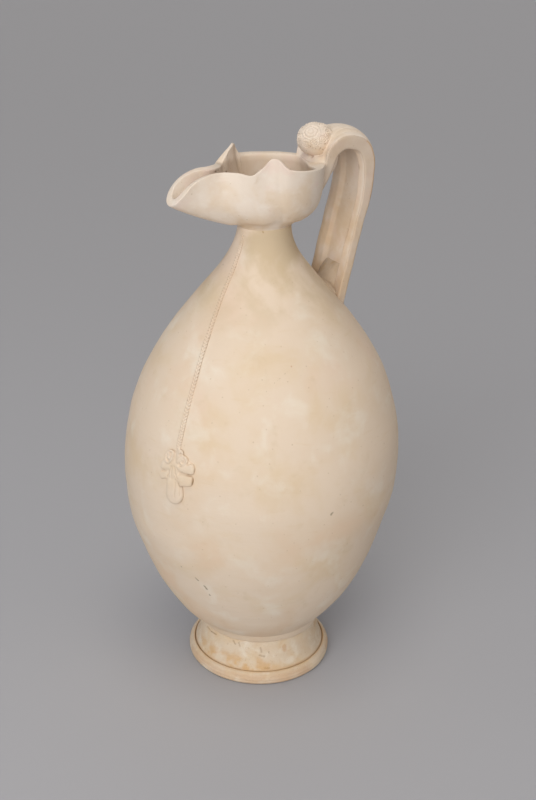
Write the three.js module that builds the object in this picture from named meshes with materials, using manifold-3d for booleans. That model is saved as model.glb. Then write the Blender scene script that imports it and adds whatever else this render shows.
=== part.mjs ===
// A hand-made earthenware ewer: an egg-shaped vessel on a turned foot, a deep bowl of a mouth with a
// long beak and two horns, a channelled strap handle with a ball for the thumb, a plaited cord down the
// shoulder and a palmette at its end. Every piece of clay that the potter joins is its own mesh.
// Millimetres, +Z up. The beak points to -Y, the handle to +Y, and the origin is the foot's centre
// on the floor.
import * as THREE from 'three';
import { mergeVertices } from 'three/addons/utils/BufferGeometryUtils.js';
import Module from 'manifold-3d';

const wasm = await Module();
wasm.setup();

// Clay
const JOINT = 0.3; // clearance between two pieces that are luted together
const AROUND = 56; // facets round the pot
const SLIP = { cream: 0xd9c8ab, mouth: 0xddcdb4, ochre: 0xd4bf9b, shade: 0xcfbd9f };

// Vessel
const WALL = 5;
const BELLY_RADIUS = 105.2;
const BELLY_HEIGHT = 173;
const NECK_RADIUS = 19.3;
const NECK_HEIGHT = 355.6;
const SEAT_RADIUS = 46; // outer edge of the cone on which the foot is luted
const SEAT_HEIGHT = 36;
const SEAT_SLOPE = THREE.MathUtils.degToRad(34);
const BOTTOM_DROP = 16; // lowest point of the vessel, inside the foot, below the seat's outer edge
const SHOULDER_FULLNESS = 0.597; // how much of the height each curve runs on before it turns
const NECK_FULLNESS = 0.23;
const HIP_FULLNESS = 0.343;
const SEAT_FULLNESS = 0.277;
const BOTTOM_FULLNESS = 0.4;

// Foot
const FOOT_WALL = 7.5;
const WAIST_STEP = 0.6; // the waist inside the seat's outer edge
const BASE_RADIUS = 57.6;
const RING_HEIGHT = 8.4; // rounded ring at the base
const RING_WIDTH = 5;
const STAND_WIDTH = 10; // flat underside of the ring, on which the ewer stands
const LINE_WIDTH = 1.2; // incised line between the ring and the flared wall
const LINE_DEPTH = 1;
const COLLAR_DROP = 5.4; // lower edge of the coil that closes the joint, below the seat's outer edge
const COLLAR_BULGE = 2.6;
const COLLAR_REST = 1.3; // width of the ledge that the coil rests on

// Mouth, with its heights above the neck
const MOUTH_WALL = 4.8;
const RIM_RISE = 43.4;
const RIM_BEVEL = 3; // how far the inner edge of the rim lies below the outer one
const RIM_CROWN = 0.8;
const BOWL_RADIUS = 42;
const BOWL_SETBACK = 4; // centre of the bowl behind the neck's axis
const BEAK_REACH = 75;
const BEAK_HALF_WIDTH = 12.6;
const BEAK_RISE = 40.9;
const LIP_RISE = 18.4;
const HORN_RISE = 7.6; // above the rim
const HORN_HALF_SPREAD = 33.5; // the horns lean in over the bowl, whose wall stands further out
const HORN_FORWARD = 12.5;
const FLARE_OUT = 14; // how the mouth's skin leaves the neck: outwards
const FLARE_UP = 10.5; // and upwards, where the rim is at its full height
const WALL_TUCK = 2; // how far the bowl's wall draws in below the rim

// Handle
const STRAP_WIDTH = 43;
const STRAP_CROWN = 0.62; // crown of the strap's back, as a share of its thickness
const STRAP_HOLLOW = 0.42; // depth of its inner face's hollow, as a share of its thickness
const STRAP_EDGE = 0.9; // bevel of the strap's long edges
const LIP_WIDTH = 7.5; // flat lip on each side of the hollow inner face
const LIP_SLOPE = 2.5; // width of the slope from the lip down into the hollow
const CREST_OUT = 11.5; // crest of the strap behind the bowl's back
const CREST_RISE = 12.6; // and above the rim
const BACK_OUT = 26.3; // its furthest point behind the bowl's back
const BACK_DROP = 11; // and below the rim
const LANDING_RADIUS = 54; // where the strap meets the shoulder
const CREST_THICKNESS = 9.5;
const FOOT_THICKNESS = 6.2;
const ROOT_THICKNESS = 3;
const ROOT_LENGTH = 26.4; // how far the root runs down the back of the bowl
const ROOT_WRAP = 6.5; // how far it bends round the bowl
const ROOT_SWELL = 4; // and how far its middle swells towards the finger gap
const SADDLE = new THREE.Vector3(24, 8.5, 5); // half sizes of the pad that spreads over the rim
const SADDLE_INSET = 6.4; // its middle in front of the bowl's back
const WAD = new THREE.Vector3(15, 9.5, 11.5); // half sizes of the wad under the strap's foot
const WAD_LIFT = 9.2; // its middle above the shoulder

// Thumb knob
const KNOB_RADIUS = 13.4;
const KNOB_HALF_HEIGHT = 11.9;
const KNOB_INSET = 7.2; // in front of the bowl's back
const KNOB_LIFT = 1.5; // its underside above the rim

// Cord and palmette
const CORD_WIDTH = 4.6;
const CORD_NECK_WIDTH = 3.2;
const CORD_RISE = 1.7;
const CORD_DROP = 5.6; // its upper end below the neck's top
const PALMETTE_TURN = THREE.MathUtils.degToRad(28); // from the beak towards +X
const CORD_NECK_TURN = THREE.MathUtils.degToRad(14);
const PALMETTE_LIFT = 19; // its middle above the belly's widest ring
const PALMETTE_RELIEF = 2.6;
const LEAF = 6; // half length of a leaf

// Helpers that turn meshes into solids and back

function weld(geometry) {
  const bare = new THREE.BufferGeometry();
  bare.setAttribute('position', geometry.getAttribute('position'));
  if (geometry.index) bare.setIndex(geometry.index);
  const welded = mergeVertices(bare, 1e-4);
  const kept = [];
  const index = welded.index.array;
  for (let i = 0; i < index.length; i += 3) {
    const [a, b, c] = [index[i], index[i + 1], index[i + 2]];
    if (a !== b && b !== c && c !== a) kept.push(a, b, c);
  }
  welded.setIndex(kept);
  return welded;
}

function toSolid(geometry) {
  const welded = weld(geometry);
  return new wasm.Manifold(new wasm.Mesh({
    numProp: 3,
    vertProperties: new Float32Array(welded.getAttribute('position').array),
    triVerts: new Uint32Array(welded.index.array),
  }));
}

function toGeometry(solid) {
  const mesh = solid.getMesh();
  const geometry = new THREE.BufferGeometry();
  geometry.setAttribute('position', new THREE.BufferAttribute(new Float32Array(mesh.vertProperties), 3));
  geometry.setIndex(new THREE.BufferAttribute(new Uint32Array(mesh.triVerts), 1));
  return geometry;
}

// Skins a list of rings, each with as many points as the next. The rings run along the piece and their
// points run so that the faces look outwards; the ends are closed by a fan, or the last ring by the first.
function skin(rings, closed = false) {
  const count = rings[0].length;
  const positions = rings.flat().flatMap((point) => [point.x, point.y, point.z]);
  const index = [];
  const last = closed ? rings.length : rings.length - 1;
  for (let i = 0; i < last; i += 1) {
    const here = i * count;
    const next = ((i + 1) % rings.length) * count;
    for (let j = 0; j < count; j += 1) {
      const k = (j + 1) % count;
      index.push(here + j, here + k, next + k, here + j, next + k, next + j);
    }
  }
  if (!closed) {
    const end = (rings.length - 1) * count;
    for (let j = 1; j < count - 1; j += 1) {
      index.push(0, j + 1, j);
      index.push(end, end + j, end + j + 1);
    }
  }
  const geometry = new THREE.BufferGeometry();
  geometry.setAttribute('position', new THREE.Float32BufferAttribute(positions, 3));
  geometry.setIndex(index);
  return geometry;
}

// Turns an outline of (radius, height) points round the pot's axis
function turned(outline) {
  const lathe = new THREE.LatheGeometry(outline, AROUND);
  lathe.rotateX(Math.PI / 2);
  return weld(lathe);
}

function part(name, geometry, color) {
  const material = new THREE.MeshStandardMaterial({ color, roughness: 0.9, metalness: 0 });
  const mesh = new THREE.Mesh(geometry, material);
  mesh.name = name;
  return mesh;
}

const at = (radius, height) => new THREE.Vector2(radius, height);

// Vessel: two free curves meet upright at the belly

function hipCurve() {
  const rise = BELLY_HEIGHT - SEAT_HEIGHT;
  const along = at(Math.cos(SEAT_SLOPE), Math.sin(SEAT_SLOPE)).multiplyScalar(rise * SEAT_FULLNESS);
  const seat = at(SEAT_RADIUS, SEAT_HEIGHT);
  const belly = at(BELLY_RADIUS, BELLY_HEIGHT);
  const below = at(BELLY_RADIUS, BELLY_HEIGHT - rise * HIP_FULLNESS);
  return new THREE.CubicBezierCurve(seat, seat.clone().add(along), below, belly);
}

function shoulderCurve() {
  const rise = NECK_HEIGHT - BELLY_HEIGHT;
  const belly = at(BELLY_RADIUS, BELLY_HEIGHT);
  const above = at(BELLY_RADIUS, BELLY_HEIGHT + rise * SHOULDER_FULLNESS);
  const below = at(NECK_RADIUS, NECK_HEIGHT - rise * NECK_FULLNESS);
  return new THREE.CubicBezierCurve(belly, above, below, at(NECK_RADIUS, NECK_HEIGHT));
}

// Height of the cone under the vessel that the foot is luted to
function seatHeight(radius) {
  return SEAT_HEIGHT - (SEAT_RADIUS - radius) * Math.tan(SEAT_SLOPE);
}

function bottomCurve() {
  const edge = at(SEAT_RADIUS - FOOT_WALL, seatHeight(SEAT_RADIUS - FOOT_WALL));
  const middle = SEAT_HEIGHT - BOTTOM_DROP;
  const pull = edge.x * BOTTOM_FULLNESS;
  const towards = at(edge.x - pull * Math.cos(SEAT_SLOPE), edge.y - pull * Math.sin(SEAT_SLOPE));
  return new THREE.CubicBezierCurve(at(0, middle), at(pull, middle), towards, edge);
}

// Offsets an outline that runs from the bottom up to the outside by a distance, square to itself
function offset(outline, distance) {
  return outline.map((point, i) => {
    const before = outline[Math.max(i - 1, 0)];
    const after = outline[Math.min(i + 1, outline.length - 1)];
    const run = after.clone().sub(before).normalize();
    return at(Math.max(point.x + run.y * distance, 0), point.y - run.x * distance);
  });
}

function vesselOutline() {
  const bottom = bottomCurve().getPoints(3);
  const hip = hipCurve().getPoints(9);
  const shoulder = shoulderCurve().getPoints(12);
  return [...bottom, ...hip, ...shoulder.slice(1)];
}

function vessel() {
  const outer = vesselOutline();
  const inner = offset(outer, -WALL).filter((point, i) => i === 0 || i % 2 === 1);
  inner[0].x = 0;
  inner[inner.length - 1].y = NECK_HEIGHT;
  return turned([...outer, ...inner.reverse()]);
}

// The vessel filled solid and grown by the joint's clearance: what is luted to it is cut by this
function vesselCutter() {
  const outer = offset(vesselOutline(), JOINT);
  outer[0].x = 0;
  const top = at(0, outer[outer.length - 1].y);
  return toSolid(turned([...outer, top]));
}

// Foot: flared wall over a rounded ring, with an incised line between them

const WAIST_RADIUS = SEAT_RADIUS - WAIST_STEP;
const COLLAR_HEIGHT = SEAT_HEIGHT - COLLAR_DROP;
const COLLAR_BED = WAIST_RADIUS - COLLAR_REST;

function foot() {
  const { lerp } = THREE.MathUtils;
  const line = BASE_RADIUS - RING_WIDTH;
  const stand = BASE_RADIUS - RING_WIDTH / 2;
  const roundness = BASE_RADIUS + RING_WIDTH / 6; // pulls the ring's curve out to the base radius
  const seat = (radius) => at(radius, seatHeight(radius) - JOINT / Math.cos(SEAT_SLOPE));
  const ring = new THREE.CubicBezierCurve(
    at(stand, 0),
    at(roundness, 0),
    at(roundness, RING_HEIGHT - LINE_DEPTH),
    at(line + LINE_WIDTH / 2, RING_HEIGHT + LINE_DEPTH / 3),
  );
  const flare = new THREE.QuadraticBezierCurve(
    at(line - LINE_WIDTH / 2, RING_HEIGHT + LINE_DEPTH),
    at(lerp(line, WAIST_RADIUS, 0.6), lerp(RING_HEIGHT, COLLAR_HEIGHT, 0.4)),
    at(WAIST_RADIUS, COLLAR_HEIGHT),
  );
  const inside = new THREE.QuadraticBezierCurve(
    seat(SEAT_RADIUS - FOOT_WALL),
    at(SEAT_RADIUS - FOOT_WALL, COLLAR_HEIGHT / 2),
    at(stand - STAND_WIDTH, 0),
  );
  return turned([
    ...ring.getPoints(5),
    at(line, RING_HEIGHT - LINE_DEPTH),
    ...flare.getPoints(4),
    at(COLLAR_BED, COLLAR_HEIGHT),
    seat(COLLAR_BED),
    ...inside.getPoints(3),
    at(stand, 0),
  ]);
}

// Collar: a coil of clay smoothed into the corner between the foot's waist and the vessel
function collar() {
  const low = COLLAR_HEIGHT + JOINT;
  const high = SEAT_HEIGHT + 2 * COLLAR_BULGE;
  const coil = new THREE.CubicBezierCurve(
    at(WAIST_RADIUS, low),
    at(SEAT_RADIUS + COLLAR_BULGE, low),
    at(SEAT_RADIUS + COLLAR_BULGE, SEAT_HEIGHT),
    at(SEAT_RADIUS + COLLAR_BULGE * 2, high),
  );
  const inner = COLLAR_BED + JOINT;
  const ring = turned([...coil.getPoints(5), at(inner, high), at(inner, low), at(WAIST_RADIUS, low)]);
  return toGeometry(toSolid(ring).subtract(vesselCutter()));
}

// Mouth: each station of the rim carries a wall that rises from the neck

const RIM_HEIGHT = NECK_HEIGHT + RIM_RISE;
const BOWL_BACK = BOWL_SETBACK + BOWL_RADIUS;

// Half of the rim from the beak's tip to the back. Each station has its place, the share of the
// height that the wall stands upright below it, and how far the wall tucks in towards the neck.
function rimStations() {
  const station = (x, y, z, stand, tuck) => (
    { place: new THREE.Vector3(x, y, z), stand, tuck: tuck * WALL_TUCK });
  const climb = BEAK_RISE - LIP_RISE;
  const beak = (x, y, up, stand, tuck) => station(
    BEAK_HALF_WIDTH * x, -BEAK_REACH * y, NECK_HEIGHT + LIP_RISE + climb * up, stand, tuck);
  const horn = (x, y, up, stand) => station(
    HORN_HALF_SPREAD * x, -HORN_FORWARD * y, RIM_HEIGHT + HORN_RISE * up, stand, 0);
  const bowl = (degrees, up, tuck) => {
    const angle = THREE.MathUtils.degToRad(degrees);
    const [x, y] = [BOWL_RADIUS * Math.sin(angle), BOWL_SETBACK - BOWL_RADIUS * Math.cos(angle)];
    return station(x, y, RIM_HEIGHT + HORN_RISE * up, 0.64, tuck);
  };
  return [
    beak(0, 1, 0, 0.22, 5.5), // tip
    beak(0.55, 0.97, 0.1, 0.26, 4),
    beak(0.92, 0.913, 0.36, 0.36, 1),
    beak(1.02, 0.813, 0.74, 0.48, -0.5), // widest
    beak(1, 0.667, 0.96, 0.56, -0.5), // crest
    beak(0.98, 0.547, 1, 0.6, -0.5), // waist
    beak(1.5, 0.427, 1, 0.62, 0), // dip
    horn(0.85, 2.04, -0.33, 0.64),
    horn(0.94, 1.44, 0.4, 0.66),
    horn(0.98, 1.06, 1, 0.68), // tip of the horn
    horn(1.04, 0.82, 0.97, 0.68),
    horn(1.18, 0.54, 0.42, 0.66), // its steep back
    bowl(79, 0.16, 0.25),
    bowl(97, 0, 0.75), // widest
    bowl(118, 0, 1),
    bowl(138, 0, 1),
    bowl(159, 0, 1),
    bowl(180, 0, 1), // back
  ];
}

const RIM_STEPS = 2; // samples between two stations
const WALL_STEPS = 8; // samples from the neck up to the rim
const BROAD_REACH = 4; // samples to each side that the wall below the rim is averaged over
const BROAD_STEP = 0.016; // and the share of the rim between them

// The sections of the mouth all round: outer wall points from the neck to the rim
function mouthSections() {
  const half = rimStations();
  const mirrored = half.slice(1, -1).reverse().map((station) => ({
    ...station, place: station.place.clone().multiply(new THREE.Vector3(-1, 1, 1)),
  }));
  const all = [...half, ...mirrored];
  const rim = new THREE.CatmullRomCurve3(all.map((station) => station.place), true);
  const shape = new THREE.CatmullRomCurve3(
    all.map((station) => new THREE.Vector3(station.stand, station.tuck, 0)), true);
  const samples = all.length * RIM_STEPS;
  const sections = [];
  for (let i = 0; i < samples; i += 1) {
    const share = i / samples;
    sections.push(mouthSection(rim.getPoint(share), broad(rim, share), shape.getPoint(share), share));
  }
  return sections;
}

// The rim's course without its horns and waist, which the wall below follows
function broad(rim, share) {
  const mean = new THREE.Vector3();
  for (let i = -BROAD_REACH; i <= BROAD_REACH; i += 1) {
    mean.add(rim.getPoint((share + i * BROAD_STEP + 1) % 1));
  }
  return mean.divideScalar(2 * BROAD_REACH + 1);
}

function mouthSection(rim, course, shape, share) {
  const polar = Math.atan2(rim.x, -rim.y);
  const even = (share > 0.5 ? share - 1 : share) * 2 * Math.PI;
  const angle = (polar + even) / 2;
  const base = NECK_HEIGHT + JOINT;
  const out = new THREE.Vector3(Math.sin(angle), -Math.cos(angle), 0);
  const neck = out.clone().multiplyScalar(NECK_RADIUS).setZ(base);
  const rise = rim.z - base;
  const flare = neck.clone().addScaledVector(out, FLARE_OUT);
  flare.z += FLARE_UP * (rise / RIM_RISE) ** 2;
  const inwards = new THREE.Vector3(-course.x, BOWL_SETBACK - course.y, 0).normalize();
  const wall = course.clone().addScaledVector(inwards, shape.y);
  wall.z = rim.z - shape.x * rise;
  return new THREE.CubicBezierCurve3(neck, flare, wall, rim).getPoints(WALL_STEPS);
}

// Outward normal of the mouth's skin at a section's point
function skinNormal(sections, i, j) {
  const count = sections.length;
  const across = sections[(i + 1) % count][j].clone().sub(sections[(i + count - 1) % count][j]);
  const up = sections[i][Math.min(j + 1, WALL_STEPS)].clone().sub(sections[i][Math.max(j - 1, 0)]);
  return across.cross(up).normalize();
}

// The mouth as one shell. Grown by a clearance it is what cuts the pieces luted to it.
function mouthShell(grow = 0) {
  const sections = mouthSections();
  const columns = sections.map((section, i) => {
    const normals = section.map((point, j) => skinNormal(sections, i, j));
    const outer = section.map((point, j) => point.clone().addScaledVector(normals[j], grow));
    const inner = section.map((point, j) => point.clone().addScaledVector(normals[j], -MOUTH_WALL - grow));
    const up = section[WALL_STEPS].clone().sub(section[WALL_STEPS - 1]).normalize();
    const bore = section[0].clone().setZ(0).setLength(NECK_RADIUS - WALL - grow);
    bore.z = section[0].z - grow;
    outer[0].z = bore.z;
    outer[WALL_STEPS].addScaledVector(up, grow);
    inner[WALL_STEPS].addScaledVector(up, grow - RIM_BEVEL);
    const crown = outer[WALL_STEPS].clone().lerp(inner[WALL_STEPS], 0.5).addScaledVector(up, RIM_CROWN);
    return [...outer, crown, ...inner.slice(1).reverse(), bore];
  });
  return skin(columns.reverse(), true);
}

// Handle: a strap with a crowned back and a hollow inner face, swept from the rim to the shoulder

// Middle line of the strap in the ewer's plane, with its thickness: up the back of the bowl, over
// the crest, round its furthest point and down into the shoulder
function strapStations() {
  const { lerp } = THREE.MathUtils;
  const back = { y: BOWL_BACK + BACK_OUT, z: RIM_HEIGHT - BACK_DROP };
  const landing = { y: LANDING_RADIUS, z: shoulderHeight(LANDING_RADIUS) };
  const root = (inwards, down, thick) => new THREE.Vector3(BOWL_BACK - ROOT_LENGTH * inwards,
    RIM_HEIGHT - ROOT_LENGTH * down, lerp(ROOT_THICKNESS, CREST_THICKNESS, thick));
  const rise = (out, up, thick) => new THREE.Vector3(BOWL_BACK + CREST_OUT * out,
    RIM_HEIGHT + CREST_RISE * up, lerp(ROOT_THICKNESS, CREST_THICKNESS, thick));
  const bend = (out, down) => new THREE.Vector3(lerp(BOWL_BACK + CREST_OUT, back.y, out),
    lerp(RIM_HEIGHT + CREST_RISE, back.z, down), CREST_THICKNESS);
  const fall = (inwards, down, thin) => new THREE.Vector3(lerp(back.y, landing.y, inwards),
    lerp(back.z, landing.z, down), lerp(CREST_THICKNESS, FOOT_THICKNESS, thin));
  return [
    root(0.44, 1, 0), // within the bowl's back wall
    root(0.15, 0.47, 0.3),
    root(0.03, 0.05, 0.7),
    rise(0.06, 0.41, 0.9),
    rise(0.43, 0.84, 1),
    rise(1, 1, 1), // crest
    bend(0.62, 0.13),
    bend(0.94, 0.5),
    fall(0, 0, 0.4), // furthest back
    fall(0.05, 0.135, 0.6),
    fall(0.2, 0.3, 0.8),
    fall(0.42, 0.51, 1),
    fall(0.66, 0.69, 1),
    fall(0.91, 0.91, 1),
    fall(1.15, 1.12, 1), // within the shoulder
  ];
}

// Outline of the strap across: x to the side, y towards its crowned back. At the root the crown
// goes, the hollow of the inner face swells up and the strap bends round the bowl.
function strapOutline(thickness, root, swell, grow) {
  const half = STRAP_WIDTH / 2 + grow;
  const back = thickness / 2 + grow;
  const crown = STRAP_CROWN * thickness * (1 - root);
  const edge = STRAP_EDGE;
  const hollow = THREE.MathUtils.lerp(thickness * STRAP_HOLLOW, -swell, root);
  const floor = STRAP_WIDTH / 2 - LIP_WIDTH - grow;
  const arch = (share) => at(half * share, back + crown * (1 - share ** 2));
  const right = [
    arch(1 / 3),
    arch(2 / 3),
    at(half - edge, back),
    at(half, back - edge),
    at(half, -back + edge),
    at(half - edge, -back),
    at(floor, -back),
    at(floor - LIP_SLOPE, -back + hollow),
  ];
  const left = right.map((point) => at(-point.x, point.y)).reverse();
  const bend = (point) => at(point.x, point.y + root * ROOT_WRAP * (point.x / half) ** 2);
  return [arch(0), ...right, ...left].map(bend);
}

const STRAP_STEPS = 34;
const ROOT_FREE = 0.14; // share of the strap's length at which it leaves the rim
const ROOT_END = 0.4; // and at which it has its full shape

function strap(grow = 0) {
  const { smoothstep } = THREE.MathUtils;
  const line = new THREE.CatmullRomCurve3(strapStations());
  const rings = [];
  for (let i = 0; i <= STRAP_STEPS; i += 1) {
    const share = i / STRAP_STEPS;
    const here = line.getPoint(share);
    const run = line.getTangent(share);
    const length = Math.hypot(run.x, run.y);
    const back = new THREE.Vector3(0, -run.y / length, run.x / length);
    const root = 1 - smoothstep(share, ROOT_FREE, ROOT_END);
    const swell = ROOT_SWELL * smoothstep(share, 0, ROOT_FREE);
    rings.push(strapOutline(here.z, root, swell, grow).map((point) => new THREE.Vector3(
      point.x, here.x + back.y * point.y, here.y + back.z * point.y)));
  }
  return toSolid(skin(rings));
}

function ellipsoid(centre, radii, around = 20, rows = 12) {
  const geometry = new THREE.SphereGeometry(1, around, rows);
  geometry.rotateX(Math.PI / 2);
  geometry.scale(radii.x, radii.y, radii.z);
  geometry.translate(centre.x, centre.y, centre.z);
  return geometry;
}

function knob(grow = 0) {
  const radius = KNOB_RADIUS + grow;
  const radii = new THREE.Vector3(radius, radius, KNOB_HALF_HEIGHT + grow);
  const height = RIM_HEIGHT + KNOB_LIFT + KNOB_HALF_HEIGHT;
  return ellipsoid(new THREE.Vector3(0, BOWL_BACK - KNOB_INSET, height), radii, 26, 16);
}

// The strap's root spreads over the rim as a saddle, dished for the knob
function saddle() {
  const centre = new THREE.Vector3(0, BOWL_BACK - SADDLE_INSET, RIM_HEIGHT + KNOB_LIFT);
  return toSolid(ellipsoid(centre, SADDLE, 28, 12));
}

function handle() {
  const rough = strap().add(saddle());
  const cut = rough.subtract(vesselCutter()).subtract(toSolid(mouthShell(JOINT)));
  return toGeometry(biggest(cut.subtract(toSolid(knob(JOINT)))));
}

// What a cut leaves beside the piece itself is trimmed off
function biggest(solid) {
  const bodies = solid.decompose();
  return bodies.reduce((large, body) => (body.volume() > large.volume() ? body : large));
}

// Wad of clay pressed into the strap's hollow where it meets the shoulder
function wad() {
  const centre = new THREE.Vector3(0, LANDING_RADIUS, shoulderHeight(LANDING_RADIUS) + WAD_LIFT);
  const lump = toSolid(ellipsoid(centre, WAD));
  return toGeometry(biggest(lump.subtract(vesselCutter()).subtract(strap(JOINT))));
}

const HALVINGS = 40;

// Share of the vessel's upper curve up to which its points pass a test
function shareWhere(isBelow) {
  let [low, high] = [0, 1];
  for (let i = 0; i < HALVINGS; i += 1) {
    const middle = (low + high) / 2;
    if (isBelow(shoulderCurve().getPoint(middle))) low = middle;
    else high = middle;
  }
  return low;
}

function shoulderHeight(radius) {
  return shoulderCurve().getPoint(shareWhere((point) => point.x > radius)).y;
}

// A frame on the vessel's skin: outwards, sideways and up along the skin
function onVessel(turn, height) {
  const share = shareWhere((place) => place.y < height);
  const point = shoulderCurve().getPoint(share);
  const run = shoulderCurve().getTangent(share);
  const [sine, cosine] = [Math.sin(turn), Math.cos(turn)];
  return {
    place: new THREE.Vector3(point.x * sine, -point.x * cosine, point.y),
    side: new THREE.Vector3(cosine, sine, 0),
    up: new THREE.Vector3(run.x * sine, -run.x * cosine, run.y),
    out: new THREE.Vector3(run.y * sine, -run.y * cosine, -run.x),
  };
}

const CORD_STEPS = 36;
const CORD_SIDES = 8;
const CORD_LAP = 3.2; // leaf lengths from the palmette's middle up to the cord's lower end
const LEAN_FROM = 0.5; // share of the cord at which it starts to lean
const LEAN_TO = 0.9;

// The cord runs straight up from the palmette and leans towards the beak on the neck
function cord() {
  const { lerp, smoothstep } = THREE.MathUtils;
  const bottom = palmetteMiddle() + LEAF * CORD_LAP;
  const rings = [];
  for (let i = 0; i <= CORD_STEPS; i += 1) {
    const share = i / CORD_STEPS;
    const height = lerp(bottom, NECK_HEIGHT - CORD_DROP, share);
    const lean = smoothstep(share, LEAN_FROM, LEAN_TO);
    const frame = onVessel(lerp(PALMETTE_TURN, CORD_NECK_TURN, lean), height);
    const width = lerp(CORD_WIDTH, CORD_NECK_WIDTH, share);
    const ring = [];
    for (let j = 0; j < CORD_SIDES; j += 1) {
      const angle = (j / CORD_SIDES) * 2 * Math.PI;
      ring.push(frame.place.clone()
        .addScaledVector(frame.side, Math.cos(angle) * width / 2)
        .addScaledVector(frame.out, Math.sin(angle) * CORD_RISE));
    }
    rings.push(ring.reverse());
  }
  const strip = toSolid(skin(rings)).subtract(vesselCutter());
  return toGeometry(biggest(strip.subtract(palmetteLumps(JOINT))));
}

function palmetteMiddle() {
  return BELLY_HEIGHT + PALMETTE_LIFT;
}

// Palmette: each lobe's place across and up from the middle, its half length and half width, all in
// leaf lengths, and its turn and height
function palmetteLobes() {
  const lobe = (across, up, long, wide, turn, relief = 1) => ({ across, up, long, wide, turn, relief });
  return [
    lobe(-1.03, 2.33, 0.87, 0.73, 0.5), // scroll buds under the cord
    lobe(1.07, 2.4, 0.87, 0.77, -0.5),
    lobe(-1.57, 1.17, 1, 0.65, 1.3), // side leaves
    lobe(1.83, 1.57, 1.03, 0.65, -1.35),
    lobe(-1.43, 0.07, 0.9, 0.6, 2),
    lobe(1.63, 0.27, 1, 0.6, -2.05),
    lobe(0.23, -1.37, 1.77, 0.9, 0, 1.1), // long leaf
    lobe(0.13, 1.17, 1.5, 0.77, 0), // heart
    lobe(0, 3.3, 0.5, 0.57, 0, 0.9), // bead at the cord's end
  ];
}

function palmetteLumps(grow = 0) {
  const lumps = palmetteLobes().map((lobe) => {
    const turn = PALMETTE_TURN + lobe.across * LEAF / BELLY_RADIUS;
    const frame = onVessel(turn, palmetteMiddle() + lobe.up * LEAF);
    const along = frame.up.clone().multiplyScalar(Math.cos(lobe.turn))
      .addScaledVector(frame.side, -Math.sin(lobe.turn));
    const over = new THREE.Vector3().crossVectors(frame.out, along);
    const lump = new THREE.SphereGeometry(1, 12, 8);
    const relief = PALMETTE_RELIEF * lobe.relief;
    lump.scale(lobe.wide * LEAF + grow, relief + grow, lobe.long * LEAF + grow);
    lump.applyMatrix4(new THREE.Matrix4().makeBasis(over, frame.out, along).setPosition(frame.place));
    return toSolid(lump);
  });
  return lumps.reduce((whole, lump) => whole.add(lump));
}

function palmette() {
  return toGeometry(biggest(palmetteLumps().subtract(vesselCutter())));
}

const ewer = new THREE.Group();
ewer.name = 'ewer';
ewer.add(part('body', vessel(), SLIP.cream));
ewer.add(part('foot', foot(), SLIP.ochre));
ewer.add(part('foot_collar', collar(), SLIP.cream));
ewer.add(part('mouth', mouthShell(), SLIP.mouth));
ewer.add(part('handle', handle(), SLIP.mouth));
ewer.add(part('thumb_knob', knob(), SLIP.mouth));
ewer.add(part('handle_wad', wad(), SLIP.shade));
ewer.add(part('neck_cord', cord(), SLIP.cream));
ewer.add(part('palmette', palmette(), SLIP.cream));

export default ewer;
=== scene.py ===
"""Looks of a hand-made earthenware ewer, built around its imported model.

The ewer is fired clay under a thin cream slip: a thrown egg-shaped vessel on a turned foot, a bowl of a
mouth with a beak and two horns, a strap handle with a stamped ball for the thumb, and a plaited cord that
ends in a palmette. Shapes are worked out in millimetres and become metres when a piece is fired.
"""

import logging
import math
from collections.abc import Callable, Iterable, Sequence
from dataclasses import dataclass, field
from enum import Enum

import bmesh
import bpy
from mathutils import Matrix, Vector, noise
from mathutils.kdtree import KDTree


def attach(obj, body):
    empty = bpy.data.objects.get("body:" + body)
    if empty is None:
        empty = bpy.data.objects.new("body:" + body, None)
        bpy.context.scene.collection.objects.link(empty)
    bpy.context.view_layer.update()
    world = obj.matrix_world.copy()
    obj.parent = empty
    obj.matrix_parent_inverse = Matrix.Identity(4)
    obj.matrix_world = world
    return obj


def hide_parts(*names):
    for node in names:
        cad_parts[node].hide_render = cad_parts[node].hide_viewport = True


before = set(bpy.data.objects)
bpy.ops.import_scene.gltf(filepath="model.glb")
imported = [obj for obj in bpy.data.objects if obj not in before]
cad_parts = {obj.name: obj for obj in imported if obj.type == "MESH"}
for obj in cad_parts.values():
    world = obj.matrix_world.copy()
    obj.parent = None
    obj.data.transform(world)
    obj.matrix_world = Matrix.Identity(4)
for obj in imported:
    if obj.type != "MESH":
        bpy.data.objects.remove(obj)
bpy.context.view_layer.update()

MM = 0.001
TURN = 2.0 * math.pi
LOG = logging.getLogger("ewer")

Tree = bpy.types.NodeTree
Socket = bpy.types.NodeSocket
Settings = dict[str | int, object]


# Small sums


def linear(colour: str) -> tuple[float, float, float, float]:
    """Turn an sRGB colour into linear light.

    Args:
        colour: Hex value such as "#e2d0b8".

    Returns:
        Linear red, green, blue and an alpha of one.
    """
    channels = [int(colour[i : i + 2], 16) / 255.0 for i in (1, 3, 5)]
    red, green, blue = (c / 12.92 if c <= 0.04045 else ((c + 0.055) / 1.055) ** 2.4 for c in channels)
    return red, green, blue, 1.0


def mix(low: float, high: float, share: float) -> float:
    """Return the value that lies a share of the way from low to high."""
    return low + (high - low) * share


def ease(value: float, low: float, high: float) -> float:
    """Rise smoothly from zero to one.

    Args:
        value: Where the rise is read.
        low: Value at which the rise starts.
        high: Value at which it ends.

    Returns:
        Share between zero and one.
    """
    share = min(max((value - low) / (high - low), 0.0), 1.0)
    return share * share * (3.0 - 2.0 * share)


def between(value: float, rise: tuple[float, float], fall: tuple[float, float]) -> float:
    """Return how far a value is inside a range, up to one, where it rises and falls smoothly at the ends."""
    return ease(value, *rise) * (1.0 - ease(value, *fall))


def ridge(away: float, width: float) -> float:
    """Return the height, up to one, of a rounded ridge of that half width so far away from its line."""
    return math.exp(-((away / width) ** 2))


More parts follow.
